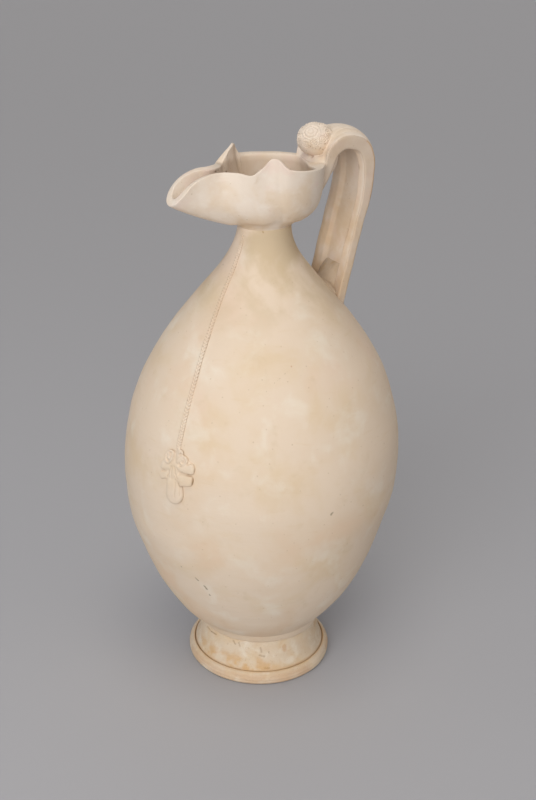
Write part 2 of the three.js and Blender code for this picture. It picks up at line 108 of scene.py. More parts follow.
def distance(place: Vector, start: Vector, end: Vector) -> float:
    """Return how far a place is from the line between two others."""
    run = end - start
    share = min(max((place - start).dot(run) / run.length_squared, 0.0), 1.0)
    return (place - start - run * share).length


def bezier(pulls: Sequence[Vector], share: float) -> Vector:
    """Find a point of a Bezier curve.

    Args:
        pulls: Its control points.
        share: How far along the curve, from zero to one.

    Returns:
        The point.
    """
    points = list(pulls)
    while len(points) > 1:
        points = [low.lerp(high, share) for low, high in zip(points, points[1:])]
    return points[0]


def curve(pulls: Sequence[Vector], steps: int) -> list[Vector]:
    """Return the points of a Bezier curve at even shares, one more than the steps."""
    return [bezier(pulls, i / steps) for i in range(steps + 1)]


def loop(middle: Vector, side: Vector, over: Vector, radius: float, facets: int) -> list[Vector]:
    """Return the points of a ring round a middle, in the plane of two directions."""
    angles = (TURN * i / facets for i in range(facets))
    return [middle + (side * math.cos(angle) + over * math.sin(angle)) * radius for angle in angles]


def rough(place: Vector, size: float, seed: float = 0.0) -> float:
    """Read the unevenness that hands leave in clay.

    Args:
        place: Where, in millimetres.
        size: Distance between one swelling and the next, in millimetres.
        seed: Shifts the pattern.

    Returns:
        Height from about -1 to 1.
    """
    return noise.noise(place / size + Vector((seed, 1.7 * seed, -seed)), noise_basis="PERLIN_NEW")


@dataclass(frozen=True)
class Wave:
    """One size of the unevenness that hands leave in clay. Sizes in millimetres.

    Attributes:
        size: Distance between one swelling and the next.
        height: Height of the swellings.
        seed: Shifts the pattern.
        level: How much wider than high the swellings are.
    """

    size: float
    height: float
    seed: float
    level: float = 1.0

    def read(self, place: Vector) -> float:
        """Return its height at a place."""
        return rough(Vector((place.x, place.y, place.z * self.level)), self.size, self.seed) * self.height


def uneven(place: Vector, waves: Iterable[Wave]) -> float:
    """Return the height that some waves have together at a place."""
    return sum(wave.read(place) for wave in waves)


# Height, and how far the potter's hand let the ewer sway there towards SWAY, in millimetres.
SWAYS = (
    (0.0, 1.6), (34.0, 1.6), (48.0, -1.4), (98.0, -1.0), (130.0, -1.6), (160.0, 0.0), (215.0, 1.2),
    (255.0, 2.2), (285.0, 1.3), (320.0, 0.3), (340.0, -0.7), (354.0, -0.7), (366.0, 0.0), (500.0, 0.0),
)  # fmt: skip
SWAY = Vector((0.475, 0.88, 0.0))
# The ring of the foot was turned a little higher than planned, which lifts all above it.
LIFT = 1.2
RING_TOP = 8.4


def lean(height: float) -> Vector:
    """Find how far the ewer sways at a height.

    Args:
        height: In millimetres.

    Returns:
        The shift in millimetres, upwards with the foot's ring.
    """
    for (low, start), (high, end) in zip(SWAYS, SWAYS[1:]):
        if height < high:
            lift = Vector((0.0, 0.0, LIFT * ease(height, 0.0, RING_TOP)))
            return SWAY * mix(start, end, ease(height, low, high)) + lift
    return Vector((0.0, 0.0, LIFT))


@dataclass
class Course:
    """A smooth line through points, as a hand draws it.

    Attributes:
        points: The points that it passes.
        closed: Whether it comes back to its start.
    """

    points: list[Vector]
    closed: bool = False

    def _point(self, index: int) -> Vector:
        """Return a point by index, with one more beyond each end of an open line."""
        count = len(self.points)
        if self.closed:
            return self.points[index % count]
        if index < 0:
            return self.points[0] * 2.0 - self.points[1]
        if index >= count:
            return self.points[-1] * 2.0 - self.points[-2]
        return self.points[index]

    def at(self, share: float) -> Vector:
        """Find a point of the line.

        Args:
            share: How far along, from zero to one. A closed line goes on past its ends.

        Returns:
            The point.
        """
        spans = len(self.points) - (0 if self.closed else 1)
        along = share * spans
        start = math.floor(along) if self.closed else min(max(math.floor(along), 0), spans - 1)
        weight = along - start
        before, low, high, after = (self._point(start + i) for i in (-1, 0, 1, 2))
        gaps = [max((b - a).length, 1e-6) ** 0.5 for a, b in ((before, low), (low, high), (high, after))]
        leave = (low - before) / gaps[0] - (high - before) / (gaps[0] + gaps[1]) + (high - low) / gaps[1]
        arrive = (high - low) / gaps[1] - (after - low) / (gaps[1] + gaps[2]) + (after - high) / gaps[2]
        leave, arrive = leave * gaps[1], arrive * gaps[1]
        return (
            low
            + leave * weight
            + (high * 3.0 - low * 3.0 - leave * 2.0 - arrive) * weight**2
            + (low * 2.0 - high * 2.0 + leave + arrive) * weight**3
        )

    def run(self, share: float) -> Vector:
        """Return the line's direction at a share of its length."""
        step = 1e-3
        return (self.at(min(share + step, 1.0)) - self.at(max(share - step, 0.0))).normalized()


class Ruler:
    """Tells where along a line in the plane of the handle a place lies."""

    STEPS = 500

    def __init__(self, line: Course) -> None:
        """Mark a line that lies at x = 0.

        Args:
            line: The line.
        """
        self.line = line
        self.marks = KDTree(self.STEPS + 1)
        for i in range(self.STEPS + 1):
            self.marks.insert(line.at(i / self.STEPS), i)
        self.marks.balance()

    def read(self, place: Vector) -> tuple[float, float]:
        """Find a place on the line.

        Args:
            place: The place. Its x is left out.

        Returns:
            Share of the line and distance from it, positive on its outer side.
        """
        spot = Vector((0.0, place.y, place.z))
        mark, index, _ = self.marks.find(spot)
        run = self.line.run(index / self.STEPS)
        return index / self.STEPS, (spot - mark).dot(Vector((0.0, -run.z, run.y)))


# Node work


def add_node(
    tree: Tree,
    kind: str,
    settings: Settings | None = None,
    links: dict[str | int, Socket] | None = None,
) -> bpy.types.Node:
    """Add a node with its settings and links.

    Args:
        tree: The tree that gets it.
        kind: Blender's name of the node's type.
        settings: Values of its sockets, by name or number, and of its other properties.
        links: Sockets of other nodes that feed its sockets.

    Returns:
        The node.
    """
    node = tree.nodes.new(kind)
    for key, value in (settings or {}).items():
        if isinstance(key, int) or key in node.inputs:
            node.inputs[key].default_value = value
        else:
            setattr(node, key, value)
    for key, source in (links or {}).items():
        tree.links.new(source, node.inputs[key])
    return node


SMOOTH: Settings = {"interpolation_type": "SMOOTHSTEP"}


def cloud(tree: Tree, place: Socket, size: float, stretch: Sequence[float], settings: Settings) -> Socket:
    """Make noise from its settings, with swellings that far apart in millimetres and drawn out along axes."""
    squeeze = {"operation": "MULTIPLY", 1: tuple(1.0 / side for side in stretch)}
    squeezed = add_node(tree, "ShaderNodeVectorMath", squeeze, {0: place}).outputs[0]
    scaled = {"Scale": 1.0 / (size * MM), **settings}
    return add_node(tree, "ShaderNodeTexNoise", scaled, {"Vector": squeezed}).outputs[0]


class Slot(Enum):
    """Names of the material slots."""

    CREAM = "cream_clay"
    PALE = "pale_clay"
    OCHRE = "ochre_clay"
    SHADE = "shade_clay"


@dataclass(frozen=True)
class Patch:
    """Cloudy patches of another tint in the slip.

    Attributes:
        colour: Their tint.
        size: Distance between patches, in millimetres.
        low: Noise value at which the tint starts to show.
        high: Noise value at which it is full.
        stretch: How much longer the patches are along x, y and z.
        strength: Share of the tint at its fullest.
    """

    colour: str
    size: float
    low: float
    high: float
    stretch: tuple[float, float, float] = (1.0, 1.0, 1.0)
    strength: float = 1.0

    def mask(self, tree: Tree, place: Socket) -> Socket:
        """Make the nodes that tell where the patches lie.

        Args:
            tree: The material's tree.
            place: Object coordinates.

        Returns:
            Socket that gives the tint's share.
        """
        soft = {"Detail": 4.0, "Roughness": 0.55, "Distortion": 0.3}
        patches = cloud(tree, place, self.size, self.stretch, soft)
        fade = {**SMOOTH, "From Min": self.low, "From Max": self.high, "To Max": self.strength}
        return add_node(tree, "ShaderNodeMapRange", fade, {"Value": patches}).outputs[0]


@dataclass(frozen=True)
class Mark:
    """A speck, or a scratch between two places.

    Attributes:
        start: One end, in millimetres.
        end: The other end.
        width: Half width in millimetres.
        colour: Its tint.
        strength: Share of the tint.
    """

    start: tuple[float, float, float]
    end: tuple[float, float, float]
    width: float
    colour: str
    strength: float

    def mask(self, tree: Tree, place: Socket) -> Socket:
        """Make the nodes that tell how near a place is to the line between the mark's ends.

        Args:
            tree: The material's tree.
            place: Object coordinates, made a little uneven.

        Returns:
            Socket that gives the tint's share.
        """
        start = (Vector(self.start) + Vector((0.0, 0.0, LIFT))) * MM
        along = (Vector(self.end) - Vector(self.start)) * MM
        if along.length < 1e-6:
            along = Vector((0.0, 0.0, 1e-6))
        math_node = "ShaderNodeVectorMath"
        gap = add_node(tree, math_node, {"operation": "SUBTRACT", 1: start}, {0: place}).outputs[0]
        onto = {"operation": "DOT_PRODUCT", 1: along / along.length_squared}
        dot = add_node(tree, math_node, onto, {0: gap}).outputs["Value"]
        share = add_node(tree, "ShaderNodeClamp", links={"Value": dot}).outputs[0]
        nearest = add_node(tree, math_node, {"operation": "SCALE", 0: along}, {"Scale": share}).outputs[0]
        away = add_node(tree, math_node, {"operation": "DISTANCE"}, {0: gap, 1: nearest}).outputs["Value"]
        blunt, sharp = self.width * 1.25 * MM, self.width * 0.45 * MM
        fade = {**SMOOTH, "From Min": blunt, "From Max": sharp, "To Max": self.strength}
        return add_node(tree, "ShaderNodeMapRange", fade, {"Value": away}).outputs[0]


@dataclass(frozen=True)
class Band:
    """A patchy tint that lies between two heights.

    Attributes:
        colour: Its tint.
        low: Height in millimetres at which it is full.
        high: Height at which it has faded.
        size: Distance between its patches, in millimetres.
        strength: Share of the tint.
    """

    colour: str
    low: float
    high: float
    size: float
    strength: float

    def mask(self, tree: Tree, place: Socket) -> Socket:
        """Make the nodes that fade patches with height.

        Args:
            tree: The material's tree.
            place: Object coordinates.

        Returns:
            Socket that gives the tint's share.
        """
        height = add_node(tree, "ShaderNodeSeparateXYZ", links={0: place}).outputs["Z"]
        ends = {"From Min": self.high * MM, "From Max": self.low * MM, "To Max": self.strength}
        fade = add_node(tree, "ShaderNodeMapRange", {**SMOOTH, **ends}, {"Value": height}).outputs[0]
        patches = Patch(self.colour, self.size, 0.4, 0.62).mask(tree, place)
        return add_node(tree, "ShaderNodeMath", {"operation": "MULTIPLY"}, {0: fade, 1: patches}).outputs[0]


@dataclass(frozen=True)
class Earthenware:
    """Fired earthenware under a thin, unglazed cream slip, smoothed by hand.

    Such a slip is chalky: hardly any gloss, with cloudy tints where it is thin and fine sand that shows as
    pores. Hollows are drawn darker, towards a dirty brown, as painted shade.

    Attributes:
        name: The material's name.
        base: Colour of the slip.
        patches: Cloudy tints over it.
        marks: Specks and scratches.
        bands: Tints at certain heights.
        wave_height: Height of the marks that smoothing leaves, in millimetres.
        crackle: Distance between the fine cracks of the slip in millimetres, or zero for none.
        grain: Size of the sand grains, in millimetres.
        grain_height: Height of the grain, in millimetres.
        pore: Colour of the pores that lost grains of sand left.
        pore_gap: Distance between pores, in millimetres.
        stain_and_shadow: Colour of the ochre that a mesh carries: stains, and a painted shadow line.
        shade_and_grime: Dirty brown for painted shade in sheltered hollows and for what a mesh carries.
        shelter: How near clay has to be round a hollow for it to get that painted shade, in millimetres.
        roughness: Of the surface.
        gloss: Specular level of the surface.
    """

    name: str
    base: str
    patches: tuple[Patch, ...] = ()
    marks: tuple[Mark, ...] = ()
    bands: tuple[Band, ...] = ()
    wave_height: float = 0.22
    crackle: float = 0.0
    grain: float = 1.1
    grain_height: float = 0.05
    pore: str = "#b39a78"
    pore_gap: float = 7.0
    stain_and_shadow: str = "#d0a060"
    shade_and_grime: str = "#957653"
    shelter: float = 3.0
    roughness: float = 0.86
    gloss: float = 0.22

    def material(self) -> bpy.types.Material:
        """Make the material's nodes.

        Returns:
            The material, new or made before under this name.
        """
        made = bpy.data.materials.get(self.name)
        if made is not None:
            return made
        material = bpy.data.materials.new(self.name)
        material.use_nodes = True
        tree = material.node_tree
        tree.nodes.clear()
        place = add_node(tree, "ShaderNodeTexCoord").outputs["Object"]
        colour = self._colour(tree, place)
        relief = {"Height": self._height(tree, place)}
        bump = add_node(tree, "ShaderNodeBump", {"Strength": 1.0, "Distance": MM}, relief)
        surface = add_node(
            tree,
            "ShaderNodeBsdfPrincipled",
            {"Roughness": self.roughness, "IOR": 1.5, "Specular IOR Level": self.gloss},
            {"Base Color": colour, "Normal": bump.outputs["Normal"]},
        )
        add_node(tree, "ShaderNodeOutputMaterial", links={"Surface": surface.outputs["BSDF"]})
        return material

    def _uneven(self, tree: Tree, place: Socket) -> Socket:
        """Shift places by up to half a millimetre, so that what is drawn there gets a ragged edge.

        Args:
            tree: The material's tree.
            place: Object coordinates.

        Returns:
            Socket that gives the shifted places.
        """
        wander = add_node(tree, "ShaderNodeTexNoise", {"Scale": 1.0 / (1.6 * MM)}, {"Vector": place})
        scale = {"operation": "MULTIPLY_ADD", 1: (MM,) * 3}
        drift = add_node(tree, "ShaderNodeVectorMath", scale, {0: wander.outputs["Color"], 2: place})
        centre = {"operation": "SUBTRACT", 1: (0.5 * MM,) * 3}
        return add_node(tree, "ShaderNodeVectorMath", centre, {0: drift.outputs[0]}).outputs[0]

    def _shade_and_grime(self, tree: Tree) -> Socket:
        """Find the painted shade in hollows that little light reaches, and the darkening that the mesh
        carries.

        Args:
            tree: The material's tree.

        Returns:
            Socket that gives the share of the dirty brown.
        """
        shelter = add_node(tree, "ShaderNodeAmbientOcclusion", {"Distance": self.shelter * MM, "samples": 8})
        depth = {"From Min": 0.6, "From Max": 0.15, "To Max": 0.35}
        hollow = add_node(tree, "ShaderNodeMapRange", depth, {"Value": shelter.outputs["AO"]}).outputs[0]
        carried = add_node(tree, "ShaderNodeAttribute", {"attribute_name": "shade_and_grime"}).outputs["Fac"]
        return add_node(tree, "ShaderNodeMath", {"operation": "MAXIMUM"}, {0: hollow, 1: carried}).outputs[0]

    def _colour(self, tree: Tree, place: Socket) -> Socket:
        """Lay the tints over each other.

        Args:
            tree: The material's tree.
            place: Object coordinates.

        Returns:
            Socket that gives the colour.
        """
        layers = [(tint.colour, tint.mask(tree, place)) for tint in (*self.patches, *self.bands)]
        shifted = self._uneven(tree, place)
        layers += [(mark.colour, mark.mask(tree, shifted)) for mark in self.marks]
        # Sand grains that broke out leave pores under a millimetre wide, one every centimetre or so.
        cells = {"Scale": 1.0 / (self.pore_gap * MM), "Randomness": 1.0}
        away = add_node(tree, "ShaderNodeTexVoronoi", cells, {"Vector": shifted}).outputs["Distance"]
        width = {"From Min": 0.085, "From Max": 0.05, "To Max": 0.4}
        layers.append((self.pore, add_node(tree, "ShaderNodeMapRange", width, {"Value": away}).outputs[0]))
        # Ochre that the mesh carries: stains, and on the strap a painted shadow line.
        ochre_share = add_node(tree, "ShaderNodeAttribute", {"attribute_name": "stain_and_shadow"}).outputs["Fac"]
        # Dirty brown last: painted shade in sheltered hollows, and the darkening that the mesh carries.
        layers += [(self.stain_and_shadow, ochre_share), (self.shade_and_grime, self._shade_and_grime(tree))]
        settings: Settings = {"data_type": "RGBA", 6: linear(self.base)}
        below: dict[str | int, Socket] = {}
        for tint, mask in layers:
            mixer = add_node(tree, "ShaderNodeMix", {**settings, 7: linear(tint)}, {0: mask, **below})
            below = {6: mixer.outputs[2]}
        return below[6]

    def _height(self, tree: Tree, place: Socket) -> Socket:
        """Add up the fine relief, in millimetres.

        Args:
            tree: The material's tree.
            place: Object coordinates.

        Returns:
            Socket that gives the height.
        """
        parts = (
            (self.grain, self.grain_height, (1.0, 1.0, 1.0)),
            (4.0, self.wave_height * 0.45, (1.0, 1.0, 1.0)),
            # Fingers smooth the clay round the pot, so their marks are long level strokes.
            (9.0, self.wave_height, (3.0, 3.0, 0.55)),
        )
        below: dict[str | int, Socket] = {}
        for size, height, stretch in parts:
            relief = cloud(tree, place, size, stretch, {"Detail": 3.0})
            scale: Settings = {"operation": "MULTIPLY_ADD", 1: height, 2: 0.0}
            below = {2: add_node(tree, "ShaderNodeMath", scale, {0: relief, **below}).outputs[0]}
        if not self.crackle:
            return below[2]
        cells = {"feature": "DISTANCE_TO_EDGE", "Scale": 1.0 / (self.crackle * MM)}
        edge = add_node(tree, "ShaderNodeTexVoronoi", cells, {"Vector": place}).outputs["Distance"]
        depth = {"From Max": 0.09, "To Max": 0.12}
        crack = add_node(tree, "ShaderNodeMapRange", depth, {"Value": edge}).outputs[0]
        return add_node(tree, "ShaderNodeMath", {"operation": "ADD"}, {0: below[2], 1: crack}).outputs[0]


WARM = Patch("#dac4a5", 46.0, 0.46, 0.7, strength=0.8)
PINK = Patch("#e1c8b3", 60.0, 0.5, 0.72, strength=0.7)
CHALK = Patch("#e6ddce", 24.0, 0.5, 0.74, strength=0.55)
TAN = Patch("#cbb592", 15.0, 0.58, 0.82, strength=0.4)
STROKE = Patch("#d6be9b", 6.0, 0.56, 0.8, (2.6, 2.6, 0.5), 0.3)

# Calcareous slip, poured on and rubbed with a wet hand: matt cream with warm and chalky clouds.
CREAM_SLIP = Earthenware(
    "cream_slip_on_earthenware",
    "#dfcdb8",
    (WARM, PINK, CHALK, TAN, STROKE),
    (
        Mark((42.7, -86.9, 121.4), (43.6, -86.4, 119.0), 0.8, "#84765c", 0.7),
        Mark((51.2, -78.6, 112.4), (52.4, -77.2, 109.8), 0.95, "#877759", 0.75),
        Mark((55.8, -77.4, 117.6), (55.8, -77.4, 117.6), 0.7, "#93815f", 0.6),
        Mark((54.7, -73.4, 105.8), (55.6, -71.6, 102.4), 0.9, "#84765c", 0.75),
        Mark((54.9, -69.4, 98.0), (55.0, -69.0, 96.0), 0.8, "#8f7f63", 0.7),
        Mark((105.1, 0.8, 171.6), (105.1, 1.8, 172.8), 1.1, "#84765c", 0.7),
        Mark((100.5, 30.0, 169.9), (100.5, 30.0, 169.9), 0.8, "#93815f", 0.6),
        Mark((80.9, 45.8, 238.0), (83.0, 45.0, 233.0), 0.7, "#a8977a", 0.5),
        Mark((74.1, -29.8, 264.0), (73.3, -19.6, 270.5), 0.45, "#ad9673", 0.7),
        Mark((72.3, -16.2, 273.3), (72.3, -16.2, 273.3), 0.8, "#b57a4b", 0.5),
        Mark((16.5, -10.5, 354.0), (16.6, -10.3, 353.4), 0.7, "#a5845c", 0.6),
        Mark((-5.8, -30.6, 326.9), (-5.8, -30.6, 326.9), 0.7, "#93815f", 0.6),
    ),
    # Painted shade: tan on the neck and upper shoulder under the mouth, and tanner towards the lower body.
    (Band("#c9b493", 335.0, 275.0, 40.0, 0.8), Band("#d9bc99", 120.0, 300.0, 60.0, 0.36)),
)
# The same slip laid on twice: paler, with more finger marks, and tan where hands wore it.
PALE_SLIP = Earthenware(
    "pale_slip_on_earthenware",
    "#e6d8c8",
    (
        Patch("#dfcab0", 30.0, 0.48, 0.72, strength=0.8),
        Patch("#e6d1c3", 22.0, 0.52, 0.72, strength=0.7),
        Patch("#eee4d8", 12.0, 0.5, 0.74, strength=0.5),
        Patch("#cab18c", 9.0, 0.6, 0.82, strength=0.3),
    ),
    (
        Mark((-10.7, -35.6, 393.0), (-11.2, -34.0, 392.6), 0.9, "#7d6448", 0.7),
        Mark((-13.0, -31.5, 393.0), (-13.0, -31.5, 393.0), 0.8, "#7d6448", 0.7),
        Mark((-17.5, -25.5, 391.0), (-18.0, -24.5, 390.0), 0.9, "#7d684c", 0.7),
        Mark((-25.0, -19.0, 389.0), (-25.0, -19.0, 389.0), 0.9, "#7d684c", 0.7),
    ),
    # Painted shade: tan on the mouth's underside above the neck.
    (Band("#d5b68b", 358.0, 378.0, 24.0, 0.5),),
    wave_height=0.3,
)
# Slip on the turned foot: finely crackled, with ochre stains from the ground and old scratches.
STAINED_SLIP = Earthenware(
    "ochre_stained_slip_on_earthenware",
    "#dccab2",
    (
        Patch("#dac2a0", 16.0, 0.44, 0.64, strength=0.7),
        Patch("#e6dac8", 11.0, 0.52, 0.7, strength=0.7),
        Patch("#cdaa80", 7.0, 0.6, 0.78, (2.6, 2.6, 0.6), 0.4),
        Patch("#b5946a", 2.0, 0.62, 0.74, strength=0.45),
    ),
    (
        Mark((-1.3, -44.8, 27.3), (6.3, -44.6, 27.0), 0.8, "#9a7348", 0.35),
        Mark((6.3, -44.6, 27.0), (12.1, -43.4, 27.6), 0.7, "#7d5d3b", 0.45),
        Mark((27.8, -35.7, 29.1), (29.5, -35.0, 26.9), 0.9, "#86663f", 0.35),
        Mark((31.6, -32.8, 28.5), (32.8, -32.4, 26.1), 0.8, "#93704a", 0.3),
        Mark((42.5, -19.1, 26.6), (43.7, -18.7, 23.1), 0.8, "#8a6238", 0.3),
        Mark((43.6, -20.5, 20.5), (45.4, -17.1, 19.6), 0.8, "#7d5d3b", 0.35),
        Mark((45.8, -13.5, 22.8), (45.8, -13.2, 21.6), 0.5, "#93704a", 0.6),
        Mark((47.8, -0.5, 25.2), (48.0, -0.5, 22.6), 2.2, "#c08a58", 0.35),
        Mark((48.5, -18.0, 10.6), (49.7, -14.8, 10.5), 0.9, "#8a5c30", 0.4),
    ),
    (Band("#cdaa8a", 7.0, 10.0, 18.0, 0.55),),
    crackle=2.6,
    wave_height=0.18,
)
# Clay for the wad in the strap's hollow: drawn duller and browner as painted shade of that hollow, with
# coarser finger marks.
SHADED_WAD_CLAY = Earthenware(
    "shaded_wad_earthenware",
    "#bba892",
    (Patch("#ad9473", 9.0, 0.46, 0.68, strength=0.7), Patch("#c9b9a4", 6.0, 0.55, 0.74, strength=0.6)),
    wave_height=0.35,
)


# Clay work


class Clay:
    """A piece of clay in the making: a bmesh in millimetres."""

    def __init__(self) -> None:
        """Start with no clay and no darkening."""
        self.mesh = bmesh.new()
        self.darkness: dict[tuple[float, ...], float] = {}

    def line(self, points: Iterable[Vector], closed: bool = False) -> list[bmesh.types.BMVert]:
        """Lay a line of vertices joined by edges.

        Args:
            points: Where they go.
            closed: Whether the last joins the first.

        Returns:
            The vertices.
        """
        verts = [self.mesh.verts.new(point) for point in points]
        ends = verts[1:] + verts[:1] if closed else verts[1:]
        for low, high in zip(verts, ends):
            self.mesh.edges.new((low, high))
        return verts

    def skin(self, rings: Sequence[Sequence[Vector]], returns: bool = False) -> None:
        """Extrude a closed ring from one place to the next.

        Args:
            rings: The points of each ring, as many in each.
            returns: Whether the last ring meets the first. If not, the ends are closed.
        """
        ring = self.line(rings[0], closed=True)
        if not returns:
            self.mesh.faces.new(ring)
        following = list(rings[1:]) + ([rings[0]] if returns else [])
        for points in following:
            pairs = zip(ring, ring[1:] + ring[:1])
            edges = [self.mesh.edges.get(pair) for pair in pairs]
            made = bmesh.ops.extrude_edge_only(self.mesh, edges=edges)["geom"]
            fresh = {part for part in made if isinstance(part, bmesh.types.BMVert)}
            ring = [
                next(edge.other_vert(vert) for edge in vert.link_edges if edge.other_vert(vert) in fresh)
                for vert in ring
            ]
            for vert, point in zip(ring, points):
                vert.co = point
        if returns:
            bmesh.ops.remove_doubles(self.mesh, verts=self.mesh.verts, dist=1e-4)
        else:
            self.mesh.faces.new(ring)
        bmesh.ops.recalc_face_normals(self.mesh, faces=self.mesh.faces)

    def turn(self, profile: Sequence[Vector], steps: int) -> None:
        """Turn a closed profile on the wheel.

        Args:
            profile: Radius and height of each point. It starts and ends on the axis or meets itself.
            steps: Facets round the axis.
        """
        self.line(Vector((point.x, 0.0, point.y)) for point in profile)
        bmesh.ops.spin(
            self.mesh,
            geom=self.mesh.verts[:] + self.mesh.edges[:],
            cent=(0.0, 0.0, 0.0),
            axis=(0.0, 0.0, 1.0),
            angle=TURN,
            steps=steps,
            use_merge=True,
        )
        bmesh.ops.remove_doubles(self.mesh, verts=self.mesh.verts, dist=1e-4)
        bmesh.ops.dissolve_degenerate(self.mesh, edges=self.mesh.edges, dist=1e-5)
        bmesh.ops.recalc_face_normals(self.mesh, faces=self.mesh.faces)

    def lump(self, radii: Vector, place: Matrix, detail: int) -> None:
        """Add a rounded lump.

        Args:
            radii: Its half sizes.
            place: Where its own axes go.
            detail: Facets round it.
        """
        bmesh.ops.create_uvsphere(
            self.mesh,
            u_segments=detail,
            v_segments=detail // 2,
            radius=1.0,
            matrix=place @ Matrix.Diagonal(radii).to_4x4(),
        )

    def coil(self, line: Course, thick: tuple[float, float], up: Vector) -> None:
        """Add a rolled coil of clay along a line.

        Args:
            line: Its middle.
            thick: Its radius at the start and at the end.
            up: A direction that is never along the line.
        """
        steps, sides = 48, 8
        rings = []
        for step in range(steps + 1):
            share = step / steps
            run = line.run(share)
            side = run.cross(up).normalized()
            rings.append(loop(line.at(share), side, side.cross(run), mix(*thick, share), sides))
        self.skin(rings)

    def fuse(self, voxel: float) -> None:
        """Join lumps that overlap into one skin, with facets of that size."""
        mesh = bpy.data.meshes.new("wet")
        self.mesh.to_mesh(mesh)
        holder = bpy.data.objects.new("wet", mesh)
        bpy.context.scene.collection.objects.link(holder)
        remesh = holder.modifiers.new("fuse", "REMESH")
        remesh.mode = "VOXEL"
        remesh.voxel_size = voxel
        joined = holder.evaluated_get(bpy.context.evaluated_depsgraph_get()).to_mesh()
        self.mesh.clear()
        self.mesh.from_mesh(joined)
        bpy.data.objects.remove(holder)
        bpy.data.meshes.remove(mesh)

    def smooth(self, rounds: int, where: Callable[[Vector], bool] | None = None) -> None:
        """Smooth the skin as a wet finger does.

        Args:
            rounds: How often.
            where: Tells of a place whether it is smoothed. Left out, all of it is.
        """
        verts = [vert for vert in self.mesh.verts if where is None or where(vert.co)]
        for _ in range(rounds):
            axes = {"use_axis_x": True, "use_axis_y": True, "use_axis_z": True}
            bmesh.ops.smooth_vert(self.mesh, verts=verts, factor=0.5, **axes)

    def press(self, height: Callable[[Vector], float]) -> None:
        """Move each vertex outwards by a height that depends on its place.

        Args:
            height: Gives the move in millimetres.
        """
        self.mesh.normal_update()
        moves = [(vert, vert.normal * height(vert.co)) for vert in self.mesh.verts]
        for vert, move in moves:
            vert.co += move

    def darken(self, place: Vector, amount: float) -> None:
        """Note how much darkening, mostly painted shade, the vertex at a place carries."""
        self.darkness[tuple(round(side, 3) for side in place)] = amount

    def darkness_at(self, place: Vector) -> float:
        """Return the darkening that was noted for the vertex at a place."""
        return self.darkness.get(tuple(round(side, 3) for side in place), 0.0)

    def fire(
        self,
        name: str,
        node: str,
        finish: Earthenware,
        shade_and_grime: Callable[[Vector], float] | None = None,
        stain_and_shadow: Callable[[Vector], float] | None = None,
    ) -> None:
        """Make the clay a finished piece of the ewer.

        Args:
            name: The piece's name.
            node: The CAD node that it stands for.
            finish: Its finish.
            shade_and_grime: Darkening at a place, from zero to one, mostly painted shade. Left out, it is
                what was noted.
            stain_and_shadow: Ochre at a place, from zero to one: stains, and a painted shadow line.
        """
        amounts = {
            "shade_and_grime": [(shade_and_grime or self.darkness_at)(vert.co) for vert in self.mesh.verts],
            "stain_and_shadow": [stain_and_shadow(vert.co) if stain_and_shadow else 0.0 for vert in self.mesh.verts],
        }
        for vert in self.mesh.verts:
            vert.co += lean(vert.co.z)
        bmesh.ops.scale(self.mesh, vec=(MM, MM, MM), verts=self.mesh.verts)
        mesh = bpy.data.meshes.new(name)
        self.mesh.to_mesh(mesh)
        self.mesh.free()
        mesh.shade_smooth()
        for attribute, values in amounts.items():
            mesh.attributes.new(attribute, "FLOAT", "POINT").data.foreach_set("value", values)
        mesh.materials.append(finish.material())
        piece = bpy.data.objects.new(name, mesh)
        bpy.context.scene.collection.objects.link(piece)
        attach(piece, "root")
        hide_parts(node)
        LOG.info("%s: %d faces, stands for %s", name, len(mesh.polygons), node)


@dataclass
class Skin:
    """A place on the vessel's skin with its directions.

    Attributes:
        place: The place.
        side: Sideways, towards a greater turn.
        up: Up along the skin.
        out: Out of the skin.
    """

    place: Vector
    side: Vector
    up: Vector
    out: Vector

    def point(self, across: float, proud: float) -> Vector:
        """Return the point that lies so far across and proud of the skin here."""
        return self.place + self.side * across + self.out * proud

    def matrix(self, proud: float) -> Matrix:
        """Find the axes of a lump laid on the skin.

        Args:
            proud: How far its middle stands out.

        Returns:
            Axes: x across the lump, y out of the skin, z up along it.
        """
        axes = Matrix((self.out.cross(self.up), self.out, self.up)).transposed().to_4x4()
        return Matrix.Translation(self.point(0.0, proud)) @ axes


